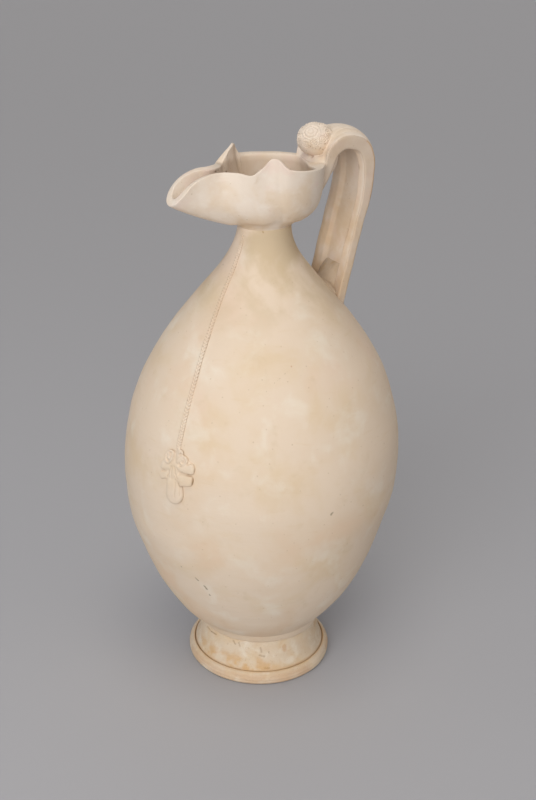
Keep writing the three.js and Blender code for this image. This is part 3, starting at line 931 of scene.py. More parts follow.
@dataclass
class Vessel:
    """The thrown vessel: an egg on its narrow end with a slender neck. Sizes in millimetres.

    Attributes:
        belly: Radius and height of its widest ring.
        neck: Radius and height of the neck's top.
        seat: Radius and height of the edge on which the foot is luted.
        seat_slope: Slope of the seat.
        bottom: Height of its lowest point, inside the foot.
        foot_wall: Thickness of the foot below the seat.
        wall: Thickness of its wall.
        facets: Facets round it.
        waves: What the wheel and the hands left.
    """

    belly: Vector = field(default_factory=lambda: Vector((105.2, 173.0)))
    neck: Vector = field(default_factory=lambda: Vector((19.3, 355.6)))
    seat: Vector = field(default_factory=lambda: Vector((46.0, 36.0)))
    seat_slope: float = math.radians(34.0)
    bottom: float = 20.0
    foot_wall: float = 7.5
    wall: float = 5.0
    facets: int = 192
    waves: tuple[Wave, ...] = (Wave(70.0, 0.75, 3.1, 1.5), Wave(30.0, 0.28, 8.4, 2.6), Wave(11.0, 0.09, 5.2))

    def hip(self) -> tuple[Vector, ...]:
        """Return the control points of the curve from the seat to the belly, as radius and height."""
        rise = self.belly.y - self.seat.y
        slope = Vector((math.cos(self.seat_slope), math.sin(self.seat_slope)))
        start, end = self.seat + slope * rise * 0.277, self.belly - Vector((0.0, rise * 0.343))
        return self.seat, start, end, self.belly

    def shoulder(self) -> tuple[Vector, ...]:
        """Return the control points of the curve from the belly to the neck's top."""
        rise = self.neck.y - self.belly.y
        start, end = self.belly + Vector((0.0, rise * 0.597)), self.neck - Vector((0.0, rise * 0.23))
        return self.belly, start, end, self.neck

    def share_at(self, height: float) -> float:
        """Find where the shoulder's curve reaches a height, by halving.

        Args:
            height: In millimetres.

        Returns:
            Share of the curve.
        """
        low, high = 0.0, 1.0
        pulls = self.shoulder()
        for _ in range(30):
            middle = (low + high) / 2.0
            if bezier(pulls, middle).y < height:
                low = middle
            else:
                high = middle
        return low

    def skin(self, turn: float, height: float) -> Skin:
        """Find a place on the skin above the belly.

        Args:
            turn: Turn from the beak towards +X, in radians.
            height: Height in millimetres.

        Returns:
            The place with its directions.
        """
        share, pulls, step = self.share_at(height), self.shoulder(), 1e-3
        point = bezier(pulls, share)
        run = (bezier(pulls, share + step) - bezier(pulls, share - step)).normalized()
        sine, cosine = math.sin(turn), math.cos(turn)
        return Skin(
            Vector((point.x * sine, -point.x * cosine, point.y)),
            Vector((cosine, sine, 0.0)),
            Vector((run.x * sine, -run.x * cosine, run.y)),
            Vector((run.y * sine, -run.y * cosine, -run.x)),
        )

    def profile(self) -> list[Vector]:
        """Return radius and height of the whole wall, from the bottom's outside round to its inside."""
        edge = self.seat - Vector((self.foot_wall, self.foot_wall * math.tan(self.seat_slope)))
        under = curve((Vector((0.0, self.bottom)), Vector((edge.x * 0.5, self.bottom)), edge), 8)
        outside = under + curve(self.hip(), 44) + curve(self.shoulder(), 60)[1:]
        inside = [
            Vector((max(point.x - self.wall, 0.0), point.y + (self.wall if point.y < 90.0 else 0.0)))
            for point in outside[::4]
        ]
        inside[0].x = 0.0
        lip = [self.neck + Vector((-self.wall, 0.0))]
        return outside + lip + inside[::-1]

    def make(self) -> None:
        """Throw the vessel and smooth it by hand."""
        clay = Clay()
        clay.turn(self.profile(), self.facets)
        clay.press(self._unevenness)
        clay.fire("vessel", "body", CREAM_SLIP)

    def _unevenness(self, place: Vector) -> float:
        """Return how far hands left the wall proud at a place, less towards the neck and the seat."""
        hold = ease(place.z, self.seat.y, 70.0) * (1.0 - 0.8 * ease(place.z, 290.0, 350.0))
        return uneven(place, self.waves) * hold


@dataclass
class Foot:
    """The turned foot: a flared wall over a rounded ring. Sizes in millimetres.

    Attributes:
        vessel: The vessel that it carries.
        waist: Its smallest radius.
        base: Radius of the ring.
        ring_height: Height of the ring.
        ring_width: Width of the ring outside the incised line.
        stand: Width of the flat underside.
        line_depth: Depth of the incised line.
        collar: Height of the collar's lower edge.
        rest: Width of the ledge under the collar.
        turning: Height and distance of the lines that turning left on the ring.
        waves: Wear on the wall.
    """

    vessel: Vessel
    waist: float = 45.4
    base: float = 57.6
    ring_height: float = RING_TOP
    ring_width: float = 5.0
    stand: float = 10.0
    line_depth: float = 1.5
    collar: float = 31.4
    rest: float = 1.3
    turning: tuple[float, float] = (0.16, 2.1)
    waves: tuple[Wave, ...] = (Wave(9.0, 0.16, 2.2), Wave(24.0, 0.3, 6.1))

    @property
    def line(self) -> float:
        """Return the radius of the incised line."""
        return self.base - self.ring_width

    def _seat(self, radius: float) -> Vector:
        """Return the point of the foot's top under the vessel at a radius."""
        drop = (self.vessel.seat.x - radius) * math.tan(self.vessel.seat_slope)
        return Vector((radius, self.vessel.seat.y - drop - 0.1))

    def profile(self) -> list[Vector]:
        """Return radius and height round the foot's section, which meets itself."""
        line, seat = self.line, self.vessel.seat.x - self.vessel.foot_wall
        tread = self.base - self.ring_width / 2.0
        bulge = self.base + self.ring_width / 6.0
        ring = (
            Vector((tread, 0.0)),
            Vector((bulge, 0.0)),
            Vector((bulge, self.ring_height - 1.0)),
            Vector((line + 0.6, self.ring_height + 0.3)),
        )
        flare = (
            Vector((line - 0.6, self.ring_height + 1.0)),
            Vector((mix(line, self.waist, 0.6), mix(self.ring_height, self.collar, 0.4))),
            Vector((self.waist, self.collar)),
        )
        inside = (self._seat(seat), Vector((seat, self.collar / 2.0)), Vector((tread - self.stand, 0.0)))
        points = curve(ring, 30) + [
            Vector((line + 0.35, self.ring_height - self.line_depth * 0.5)),
            Vector((line + 0.1, self.ring_height - self.line_depth)),
            Vector((line - 0.3, self.ring_height - self.line_depth * 0.6)),
        ]
        rest = self.waist - self.rest
        points += curve(flare, 30) + [Vector((rest, self.collar + 0.2)), self._seat(rest)]
        return points + curve(inside, 8) + [points[0].copy()]

    def make(self) -> None:
        """Turn the foot and cut its lines."""
        clay = Clay()
        clay.turn(self.profile(), 176)
        clay.press(self._turning)
        clay.fire("turned_foot", "foot", STAINED_SLIP, self._darkening, self._ochre_tint)

    def _turning(self, place: Vector) -> float:
        """Return the height of the turning lines on the ring and of the wear on the wall."""
        radius = math.hypot(place.x, place.y)
        if radius < self.waist - 3.0:
            return 0.0
        height, gap = self.turning
        on_ring = 1.0 - ease(place.z, self.ring_height - 2.5, self.ring_height - 1.0)
        lines = math.cos(TURN * place.z / gap + rough(place, 40.0) * 0.6) * height * on_ring
        return (uneven(place, self.waves) + lines) * ease(place.z, 0.3, 1.8)

    def _darkening(self, place: Vector) -> float:
        """Return how much darker the incised line is drawn."""
        low = self.ring_height - self.line_depth * 0.6
        near = math.hypot(math.hypot(place.x, place.y) - self.line, place.z - low)
        return ridge(near, 0.6) * (0.2 + 0.25 * rough(place, 14.0, 4.0))

    def _ochre_tint(self, place: Vector) -> float:
        """Return the ochre stains: along the incised line and in patches low on the wall before the handle.
        """
        away = math.hypot(place.x, place.y) - self.line
        along_line = 0.6 * ridge(math.hypot(away, place.z - self.ring_height), 1.3)
        front = between(math.degrees(math.atan2(place.x, -place.y)), (-20.0, 20.0), (60.0, 90.0))
        low = 1.0 - ease(place.z, 12.0, 24.0)
        patchy = ease(rough(place, 9.0, 7.3) + 0.4 * rough(place, 3.0, 1.2), -0.25, 0.35)
        on_wall = ease(place.z, self.ring_height, self.ring_height + 1.0)
        return max(along_line, on_wall * patchy * (0.12 + 0.5 * front * low))


@dataclass
class FootCollar:
    """The coil of clay smoothed into the corner between foot and vessel. Sizes in millimetres.

    Attributes:
        foot: The foot that it closes.
        bulge: How far it stands out.
        waves: What the fingers left.
    """

    foot: Foot
    bulge: float = 2.6
    waves: tuple[Wave, ...] = (Wave(10.0, 0.22, 1.4), Wave(26.0, 0.3, 7.7))

    def make(self) -> None:
        """Turn the coil and press it in by hand."""
        seat = self.foot.vessel.seat
        high = seat.y + 2.0 * self.bulge
        inner = self.foot.waist - self.foot.rest + 0.2
        coil = (
            Vector((self.foot.waist + 0.1, self.foot.collar + 0.1)),
            Vector((seat.x + self.bulge * 0.9, self.foot.collar)),
            Vector((seat.x + self.bulge, seat.y)),
            Vector((seat.x + self.bulge * 2.15, high)),
        )
        profile = curve(coil, 14)
        profile += [Vector((inner, high)), Vector((inner, self.foot.collar + 0.1)), profile[0].copy()]
        clay = Clay()
        clay.turn(profile, 144)
        clay.press(lambda place: uneven(place, self.waves))
        clay.fire("foot_collar_coil", "foot_collar", CREAM_SLIP)


@dataclass(frozen=True)
class RimStation:
    """One place on the rim.

    Attributes:
        place: Where, in millimetres.
        stand: Share of the height that the wall stands upright below it.
        tuck: How far the wall draws in towards the neck, in millimetres.
        flare: How far the wall runs outwards from the neck before it turns up, in millimetres.
    """

    place: Vector
    stand: float
    tuck: float
    flare: float = 14.0


@dataclass
class Column:
    """The mouth's wall below one place of the rim.

    Attributes:
        outside: Points of the skin from the neck to just below the rim.
        edge: The rim's outer corner.
        normals: The skin's directions at the points and at the corner.
        up: Direction of the wall at the rim.
        thickness: Thickness of the wall at the points and at the corner.
        bevel: How far the rim's inner corner lies below the outer one.
    """

    outside: list[Vector]
    edge: Vector
    normals: list[Vector]
    up: Vector
    thickness: list[float]
    bevel: float

    def section(self, start: int, shrink: float = 0.0) -> list[Vector]:
        """Draw the wall's section: up the outside, over the flat rim and down the inside.

        Args:
            start: Point of the outside at which it starts.
            shrink: How far it lies inside the wall's own skin.

        Returns:
            The points.
        """
        spans = list(zip(self.outside, self.normals, self.thickness))[start:]
        outer = [point - normal * shrink for point, normal, _ in spans]
        sink = [(self.bevel + 0.5) * ease(j / len(spans), 0.5, 1.0) for j in range(1, len(spans) + 1)]
        inner = [
            point - normal * (thick - shrink) - self.up * low
            for (point, normal, thick), low in zip(spans, sink)
        ]
        out, thick = self.normals[-1], self.thickness[-1]
        high = self.edge - (out + self.up) * shrink
        low = self.edge - out * (thick - shrink) - self.up * (self.bevel + shrink)
        across = (low - high).normalized()
        outer_round, inner_round = min(1.0, thick * 0.3), min(0.8, thick * 0.25)
        corners = (
            (high - self.up * outer_round, high, high + across * outer_round),
            (low - across * inner_round, low, low - self.up * inner_round),
        )
        lip = [point for corner in corners for point in curve(corner, 4)]
        return outer + lip + inner[::-1]


# Millimetres that count as much as the whole height, where the form of the rim's wall is evened out.
STAND_WEIGHT = 20.0


@dataclass
class Mouth:
    """The mouth: a deep bowl with a long beak and two horns. Sizes in millimetres.

    Attributes:
        vessel: The vessel that carries it.
        wall: Thickness of its wall, and at the tips of the horns.
        ledge: How much wider the rim is where the handle's root is smeared over it.
        rim: Height of the rim.
        bevel: How far the inner edge of the rim lies below the outer one, on the beak and on the bowl.
        bowl: Radius of the bowl.
        setback: Middle of the bowl behind the neck's axis.
        beak: Reach and half width of the beak.
        lip: Height of the beak's lip and of its highest edge.
        horn: Half spread, place before the axis and height of the horns.
        density: Samples between two stations of the rim.
        rows: Samples from the neck up to the rim.
        fillet: Rows of the soft hollow between neck and mouth.
        blur: Shares of the rim between the samples that even out its course and its form.
        waves: What the hands left.
    """

    vessel: Vessel
    wall: tuple[float, float] = (4.8, 2.0)
    ledge: float = 6.4
    rim: float = 399.0
    bevel: tuple[float, float] = (0.5, 1.7)
    bowl: float = 42.0
    setback: float = 4.0
    beak: tuple[float, float] = (74.9, 12.6)
    lip: tuple[float, float] = (374.0, 396.5)
    horn: tuple[float, float, float] = (33.5, 12.5, 406.9)
    density: int = 8
    rows: int = 30
    fillet: int = 6
    blur: tuple[float, float] = (0.016, 0.012)
    waves: tuple[Wave, ...] = (Wave(26.0, 0.4, 9.3), Wave(9.0, 0.13, 4.4))

    def stations(self, sharp: float) -> list[RimStation]:
        """Return half of the rim, from the beak's tip to the bowl's back.

        Args:
            sharp: How steeply the horn falls to the bowl, from zero to one.

        Returns:
            The stations, on the side of +X.
        """
        reach, half_width = self.beak
        spread, forward, tip = self.horn
        low, high = self.lip

        def beak(x: float, y: float, up: float, stand: float, tuck: float) -> RimStation:
            """Place a station on the beak, in shares of its sizes."""
            return RimStation(Vector((half_width * x, -reach * y, mix(low, high, up))), stand, tuck)

        def horn(x: float, y: float, up: float, stand: float) -> RimStation:
            """Place a station on the horn, in shares of its sizes."""
            return RimStation(Vector((spread * x, -forward * y, mix(self.rim, tip, up))), stand, 0.0)

        def bowl(
            degrees: float, up: float, stand: float, tuck: float, flare: float = 16.0, inset: float = 0.0
        ) -> RimStation:
            """Place a station on the bowl, by its turn from the beak, drawn in by the inset."""
            angle, radius = math.radians(degrees), self.bowl - inset
            x, y = radius * math.sin(angle), self.setback - radius * math.cos(angle)
            return RimStation(Vector((x, y, mix(self.rim, tip, up))), stand, tuck - inset, flare)

        return [
            beak(0.0, 1.0, 0.0, 0.34, 10.0),
            beak(0.6, 0.98, 0.1, 0.36, 8.0),
            beak(0.95, 0.925, 0.36, 0.43, 2.0),
            beak(1.02, 0.815, 0.74, 0.52, -1.0),
            beak(1.0, 0.66, 0.96, 0.59, -1.0),
            beak(0.98, 0.54, 1.0, 0.62, -1.0),
            beak(1.5, 0.421, 1.0, 0.63, 0.0),
            horn(0.85, 2.04, -0.33, 0.64),
            horn(0.94, 1.44, 0.4, 0.66),
            horn(0.97, 1.1, mix(1.0, 0.8, sharp), 0.68),
            horn(1.05, 0.79, mix(0.99, 1.06, sharp), 0.69),
            horn(1.18, 0.54, mix(0.46, 0.06, sharp), 0.7),
            bowl(79.0, mix(0.22, 0.0, sharp), 0.7, 0.4, 15.0),
            bowl(97.0, mix(0.04, 0.0, sharp), 0.73, 0.8),
            bowl(118.0, 0.0, 0.76, 1.0, 16.5, mix(1.2, 0.0, sharp)),
            bowl(138.0, 0.0, 0.79, 1.1, 17.0, mix(3.8, 0.0, sharp)),
            bowl(159.0, 0.0, 0.8, 1.1, 17.0, mix(5.0, 0.6, sharp)),
            bowl(180.0, 0.0, 0.78, 1.1, 16.5, 3.2),
        ]

    def columns(self) -> list[Column]:
        """Return the wall in columns all round."""
        flip, origin = Vector((-1.0, 1.0, 1.0)), Vector((0.0, 0.0, 0.0))
        far = self.stations(1.0)[-2:0:-1]
        every = self.stations(0.0) + [RimStation(s.place * flip, s.stand, s.tuck, s.flare) for s in far]
        rim = Course([station.place for station in every], closed=True)
        form = Course([Vector((s.stand * STAND_WEIGHT, s.tuck, s.flare)) for s in every], closed=True)
        count = len(every) * self.density
        skins = []
        for i in range(count):
            share = i / count
            around = [rim.at(share + step * self.blur[0]) for step in range(-4, 5)]
            forms = [form.at(share + step * self.blur[1]) for step in range(-3, 4)]
            course, shape = (sum(values, origin) / len(values) for values in (around, forms))
            skins.append(self._skin(rim.at(share), course, shape, share))
        return [self._column(skins[i - 1], skins[i], skins[(i + 1) % count]) for i in range(count)]

    def _skin(self, edge: Vector, course: Vector, form: Vector, share: float) -> list[Vector]:
        """Draw the outer skin below one place of the rim.

        Args:
            edge: The place on the rim.
            course: The rim's course there without horns and waist.
            form: Share of the height that the wall stands upright, times its weight, its tuck, its flare.
            share: How far round the rim.

        Returns:
            Points from the neck to just below the rim, then the rim itself.
        """
        polar = math.atan2(edge.x, -edge.y)
        even = (share - 1.0 if share > 0.5 else share) * TURN
        angle = (polar + even) / 2.0
        stand, tuck, flare = form.x / STAND_WEIGHT, form.y, form.z
        base = self.vessel.neck.y - 0.3
        out = Vector((math.sin(angle), -math.cos(angle), 0.0))
        neck = out * self.vessel.neck.x + Vector((0.0, 0.0, base))
        rise = edge.z - base
        lift = mix(10.5, 8.5, ease(flare, 14.0, 18.0))
        underside = neck + out * flare + Vector((0.0, 0.0, lift * (rise / (self.rim - base)) ** 2))
        inwards = Vector((-course.x, self.setback - course.y, 0.0)).normalized()
        wall = course + inwards * tuck
        wall.z = edge.z - stand * rise
        pulls = (neck, underside, wall, edge)
        end = 1.0 - min(1.7 / (3.0 * (edge - wall).length), 0.2)
        points = [bezier(pulls, end * i / self.rows) for i in range(self.rows + 1)]
        # A finger drew the clay down over the neck, so the corner is a soft hollow.
        below = out * (self.vessel.neck.x - 0.3) + Vector((0.0, 0.0, base - 1.6))
        corner = out * (self.vessel.neck.x + 0.2) + Vector((0.0, 0.0, base + 2.4))
        soft = (below, corner, points[self.fillet])
        return curve(soft, self.fillet)[:-1] + points[self.fillet :] + [edge]

    def _widening(self, edge: Vector) -> float:
        """Return how much wider the rim is at a place, for the handle's root and at the beak's tip."""
        angle = math.degrees(math.atan2(edge.x, edge.y - self.setback))
        root = self.ledge * (1.0 - ease(angle, 24.0, 62.0)) * (1.0 - ease(-angle, 0.0, 40.0))
        return root + 1.3 * ease(-edge.y, self.beak[0] - 12.0, self.beak[0] - 1.0)

    def _column(self, before: list[Vector], skin: list[Vector], after: list[Vector]) -> Column:
        """Give the wall below one place of the rim its thickness.

        Args:
            before: The skin one sample before.
            skin: The skin here.
            after: The skin one sample further.

        Returns:
            The column.
        """
        last = self.rows + 1
        normals = [
            (after[j] - before[j]).cross(skin[min(j + 1, last)] - skin[max(j - 1, 0)]).normalized()
            for j in range(last + 1)
        ]
        edge = skin[-1]
        on_horn = ease(edge.z, self.rim + 0.6, self.horn[2] - 0.6)
        full, thin = self.wall
        widening = self._widening(edge)
        thickness = []
        for j in range(last + 1):
            up = j / last
            wall = mix(full + 1.6, full, ease(up, 0.1, 0.8)) + widening * ease(up, 0.7, 1.0)
            thickness.append(mix(wall, thin, on_horn * ease(up, 0.55, 1.0)))
        bevel = mix(self.bevel[0], self.bevel[1], ease(edge.y, -60.0, -15.0)) * (1.0 - 0.6 * on_horn)
        return Column(
            skin[:-1], edge, normals, (edge - skin[-2]).normalized(), thickness, bevel + widening * 0.1
        )

    def back(self, clay: Clay, shrink: float) -> None:
        """Add the wall behind the handle, drawn a little inside its own skin.

        Args:
            clay: The clay that gets it.
            shrink: How far inside.
        """
        wall = [column for column in self.columns() if column.edge.y > 20.0]
        wall.sort(key=lambda column: column.edge.x)
        clay.skin([column.section(self.fillet + 6, shrink) for column in wall])

    def make(self) -> None:
        """Build the mouth as one shell with a rounded rim."""
        shell = []
        columns = self.columns()
        faces = KDTree(2 * len(columns) * (self.rows + 1))
        for column in columns:
            below = column.outside[0]
            bore = Vector((below.x, below.y, 0.0)).normalized() * (self.vessel.neck.x - self.vessel.wall)
            bore.z = below.z
            section = column.section(0)[:-1]
            shell.append(section + [bore])
            for j, outer in enumerate(column.outside):
                faces.insert(outer, 0)
                faces.insert(section[-1 - j] if j < self.rows else bore, 1)
        faces.balance()
        clay = Clay()
        clay.skin([[column[j] for column in shell] for j in range(len(shell[0]))], returns=True)
        clay.press(lambda place: uneven(place, self.waves))

        def shade_and_grime(place: Vector) -> float:
            """Return the painted shade at a place, which the nearest face tells to be outside or inside."""
            return self._darkening(place, faces.find(place)[1] == 1)

        clay.fire("beaked_mouth", "mouth", PALE_SLIP, shade_and_grime)

    def _darkening(self, place: Vector, inner: bool) -> float:
        """Find the painted shade in the hollow above the neck, where the horns meet the bowl, and inside the
        bowl.

        Args:
            place: Where.
            inner: Whether it lies on the wall's inner face.

        Returns:
            Painted shade from zero to one.
        """
        radius = math.hypot(place.x, place.y)
        hollow = 0.22 * ridge(place.z - self.vessel.neck.y, 2.0) * (1.0 if radius < 24.0 else 0.0)
        spread, forward, _ = self.horn
        fold = math.hypot(abs(place.x) - spread + 1.0, place.y + forward - 4.0)
        below = self.rim - self.bevel[1] - place.z
        inside = 0.36 * ease(below, 0.4, 2.4) * ease(place.y, -40.0, -10.0) if inner else 0.0
        return max(hollow, 0.34 * ridge(fold, 2.2) * ease(place.z, 380.0, 392.0), inside)


@dataclass
class ThumbKnob:
    """The ball for the thumb, stamped with rosettes. Sizes in millimetres.

    Attributes:
        radius: Its radius.
        half_height: Half its height.
        place: Its middle.
        large: Radius of the large rosette.
        small: Radius of the small ones.
        drift: Unevenness of the stamps, as a share of the radius.
        waves: What the hands left.
    """

    radius: float = 13.4
    half_height: float = 11.9
    place: Vector = field(default_factory=lambda: Vector((0.0, 38.8, 412.4)))
    large: float = 6.6
    small: float = 3.5
    drift: float = 0.045
    waves: tuple[Wave, ...] = (Wave(7.0, 0.25, 2.6), Wave(2.2, 0.1, 6.6))

    @property
    def radii(self) -> Vector:
        """Return its half sizes."""
        return Vector((self.radius, self.radius, self.half_height))

    def stamps(self) -> list[tuple[Vector, float]]:
        """Return the direction and radius of each rosette."""
        large, small = self.large, self.small
        directions = (
            (6.5, -7.7, 7.6, large), (10.9, -7.4, -0.4, small), (12.9, -1.2, 2.4, small),
            (10.6, 4.4, 6.6, small * 1.1), (6.6, -11.4, -2.4, small * 0.9), (-1.4, -12.8, 2.2, small),
            (-7.5, -8.6, 6.4, small * 1.1), (-2.6, -2.4, 12.2, small * 1.2), (5.0, 2.6, 11.4, small),
            (12.4, 4.8, -1.4, small), (-9.4, 0.2, 8.6, small * 1.1), (-12.4, -5.0, 0.0, small),
            (0.4, 8.4, 10.0, small), (-12.0, 4.0, 2.6, small), (-6.6, 8.8, 7.4, small),
            (-4.8, -11.8, -3.0, small * 0.9),
        )  # fmt: skip
        return [(Vector(direction).normalized(), size) for *direction, size in directions]

    def ball(self, clay: Clay, scale: float) -> None:
        """Add the plain ball to a clay, so many times its size."""
        clay.lump(self.radii * scale, Matrix.Translation(self.place), 40)

    def make(self) -> None:
        """Roll the ball and stamp it."""
        clay = Clay()
        bmesh.ops.create_icosphere(clay.mesh, subdivisions=7, radius=1.0)
        stamps, radii = self.stamps(), self.radii
        for vert in clay.mesh.verts:
            way = vert.co.normalized()
            spot = way * self.radius
            drift = Vector([rough(spot, 3.2, seed) for seed in (1.3, 5.9, 8.8)]) * self.drift
            relief = self._stamped((way + drift).normalized(), stamps)
            worn = 0.42 + 0.16 * rough(spot, 5.0, 3.1)
            vert.co = self.place + way * radii + way * (relief * worn + uneven(spot, self.waves) - 0.2)
            pits = 0.5 * ease(rough(spot, 1.5, 4.5), 0.36, 0.52) if relief < 0.1 else 0.0
            # Painted shade in the stamps' sunk rings, and dark pits.
            clay.darken(vert.co, max(max(-relief, 0.0) * 0.26, pits))
        clay.fire("stamped_thumb_knob", "thumb_knob", PALE_SLIP)

    def _stamped(self, way: Vector, stamps: list[tuple[Vector, float]]) -> float:
        """Find the relief of the nearest rosette.

        Args:
            way: Direction from the ball's middle.
            stamps: The rosettes.

        Returns:
            Relief from about -1 to 1.
        """

        def away_from(stamp: tuple[Vector, float]) -> float:
            """Return the distance from a stamp's middle in its own radii."""
            return math.acos(min(max(way.dot(stamp[0]), -1.0), 1.0)) * self.radius / stamp[1]

        towards, size = min(stamps, key=away_from)
        away = away_from((towards, size))
        if away > 1.25:
            return 0.0
        side = towards.orthogonal().normalized()
        turn = math.atan2(way.dot(towards.cross(side)), way.dot(side))
        large = size > self.small * 1.5
        petals = 14 if large else 8
        scallop = 0.5 + 0.5 * math.cos(turn * petals)
        beads = 0.6 + 0.4 * math.cos(turn * (22 if large else 11))
        # Raised and sunk rings from the stamp's edge inwards, in shares of its radius.
        rim = ridge(away - 0.96, 0.12) * beads - ridge(away - 1.13, 0.09) * 0.4
        groove = -ridge(away - (0.76 if large else 0.72), 0.08) * 0.9
        leaf = (0.25 + 0.75 * scallop) * ridge(away - 0.54, 0.13) * 0.8
        inner = -ridge(away - 0.33, 0.07) * 0.7 + ridge(away, 0.2) * 0.8
        return rim + groove + leaf + inner


@dataclass
class StrapHandle:
    """The strap handle with its saddle over the rim. Sizes in millimetres.

    Attributes:
        mouth: The mouth from whose back it rises.
        knob: The ball that sits in its saddle.
        width: Width of the strap.
        crown: Rise of its back, as a share of its thickness.
        hollow: Depth of its inner face's hollow, as a share of its thickness.
        lip: Width of the flat lips of its inner face.
        slope: Width of the slope from a lip into the hollow.
        edge: Roundness of its long edges.
        far_lip: How much further the lip away from +X reaches towards the neck.
        saddle: Half sizes of the pad that spreads over the rim.
        saddle_place: Its middle.
        grooves: Places of the grooves along its back.
        slot: Start of the slot under the ball, from the ball's middle, and its run.
        crack: Place of the crack across the hollow, and its half width.
        voxel: Size of its facets.
        waves: What pulling and smoothing left.
    """

    mouth: Mouth
    knob: ThumbKnob
    width: float = 43.0
    crown: float = 0.62
    hollow: float = 0.42
    lip: float = 9.2
    slope: float = 2.2
    edge: float = 0.6
    far_lip: float = 2.0
    saddle: Vector = field(default_factory=lambda: Vector((21.0, 8.0, 3.9)))
    saddle_place: Vector = field(default_factory=lambda: Vector((0.5, 41.5, 398.6)))
    grooves: tuple[float, ...] = (-15.0, -10.2, -4.6, 1.2, 6.4, 10.6, 15.8)
    slot: tuple[tuple[float, ...], tuple[float, ...]] = ((2.2, -5.6, -11.6), (3.4, 6.4, -0.3))
    crack: tuple[float, float] = (11.8, 0.7)
    voxel: float = 0.6
    waves: tuple[Wave, ...] = (Wave(24.0, 0.3, 1.9), Wave(8.0, 0.13, 6.6))

    def __post_init__(self) -> None:
        """Draw the middle line and mark it."""
        self.middle, self.thickness = self.line()
        self.ruler = Ruler(self.middle)

    def line(self) -> tuple[Course, Course]:
        """Return the strap's middle line, and its thickness along it as the first coordinate."""
        stations = (
            (34.4, 372.6, 3.0), (42.0, 386.6, 5.0), (45.2, 397.7, 7.6), (46.7, 404.2, 8.9),
            (50.9, 409.6, 9.5), (57.5, 411.6, 9.5), (66.7, 408.6, 9.5), (71.4, 399.8, 9.5),
            (72.3, 388.0, 8.2), (71.4, 376.0, 7.5), (68.6, 361.4, 6.9), (64.6, 342.8, 6.2),
            (60.0, 326.8, 6.2), (54.8, 307.3, 6.2), (49.8, 288.7, 6.2),
        )  # fmt: skip
        middle = Course([Vector((0.0, y, z)) for y, z, _ in stations])
        thickness = Course([Vector((t, 0.0, 0.0)) for _, _, t in stations])
        return middle, thickness

    def _outline(self, share: float, root: float, swell: float) -> list[Vector]:
        """Draw the strap's section.

        Args:
            share: How far along the strap.
            root: How much it is still root, from one at the rim to zero.
            swell: How far the root's inner face swells.

        Returns:
            Points with x across and y towards the crowned back.
        """
        thickness = self.thickness.at(share).x
        half, back, edge = self.width / 2.0, thickness / 2.0, self.edge
        crown = self.crown * thickness * (1.0 - root)
        hollow = mix(thickness * self.hollow, -swell, root)
        floor = half - self.lip
        arch = [i / 12 for i in range(1, 12)]
        right = [Vector((half * s, back + crown * (1.0 - s**2))) for s in arch]
        right += [
            Vector((half - edge * 0.6, back)),
            Vector((half, back - edge)),
            Vector((half, 0.0)),
            Vector((half, -back + edge)),
            Vector((half - edge, -back)),
            Vector((half - self.lip * 0.5, -back)),
            Vector((floor, -back)),
            Vector((floor - self.slope, -back + hollow)),
            Vector((floor * 0.6, -back + hollow * 1.03)),
            Vector((floor * 0.3, -back + hollow * 1.06)),
        ]
        left = [Vector((-point.x, point.y)) for point in reversed(right)]
        for point in left:
            if point.y < 0.0:
                point.y -= self.far_lip * ease(share, 0.5, 0.75) * ease(-point.x / half, 0.5, 0.8)
        around = [Vector((0.0, back + crown))] + right + [Vector((0.0, -back + hollow * 1.07))] + left
        return [Vector((p.x, p.y + root * 6.5 * (p.x / half) ** 2)) for p in around]

    def make(self) -> None:
        """Pull the strap, spread its root over the rim and press the ball's dish."""
        clay = Clay()
        middle, steps = self.middle, 130
        rings = []
        for i in range(steps + 1):
            share = i / steps
            here, run = middle.at(share), middle.run(share)
            back = Vector((0.0, -run.z, run.y))
            root = 1.0 - ease(share, 0.14, 0.4)
            outline = self._outline(share, root, 4.0 * ease(share, 0.0, 0.14))
            rings.append([here + back * p.y + Vector((p.x, 0.0, 0.0)) for p in outline])
        clay.skin(rings)
        clay.lump(self.saddle, Matrix.Translation(self.saddle_place), 40)
        self.mouth.back(clay, 0.4)
        self.knob.ball(clay, 0.96)
        clay.fuse(self.voxel)
        clay.smooth(1)
        clay.smooth(16, self._at_root)
        clay.press(self._pulled)
        clay.fire("strap_handle", "handle", PALE_SLIP, self._darkening, self._ochre_tint)

    def _at_root(self, place: Vector) -> bool:
        """Tell whether a place lies on top of the root, where fingers smoothed it over the rim."""
        if abs(place.x) > self.width / 2.0 - 1.2 or place.z < 396.0:
            return False
        return (place - self.knob.place).length < self.knob.radius + 5.0 or place.y < 47.0

    def _inside(self, place: Vector) -> bool:
        """Tell whether a place lies on the strap's inner side."""
        share, proud = self.ruler.read(place)
        return share > 0.2 and proud < 0.0 and abs(place.x) < self.width / 2.0 - 0.5

    def _pulled(self, place: Vector) -> float:
        """Return the relief that pulling, drying and smoothing leave on the strap."""
        if (place - self.knob.place).length < self.knob.radius + 1.5 or place.y < 44.0:
            return -0.9 * self._slot(place)
        broad = uneven(place, self.waves)
        if self._inside(place):
            return broad - 1.1 * self._crack(place)
        if abs(place.x) > self.width / 2.0 - 1.5:
            return broad * 0.6
        wander = rough(Vector((0.0, place.y, place.z)), 26.0, 3.0) * 0.9
        marks = (ridge(place.x - groove + wander, 0.7) for groove in self.grooves)
        fade = ease(place.z, 350.0, 392.0) * (1.0 - ease(abs(place.x), 17.5, 20.0))
        return broad - 0.3 * max(marks) * fade

    def _slot(self, place: Vector) -> float:
        """Return how deep the slot under the ball is at a place, up to one."""
        start = self.knob.place + Vector(self.slot[0])
        return ridge(distance(place, start, start + Vector(self.slot[1])), 0.9)

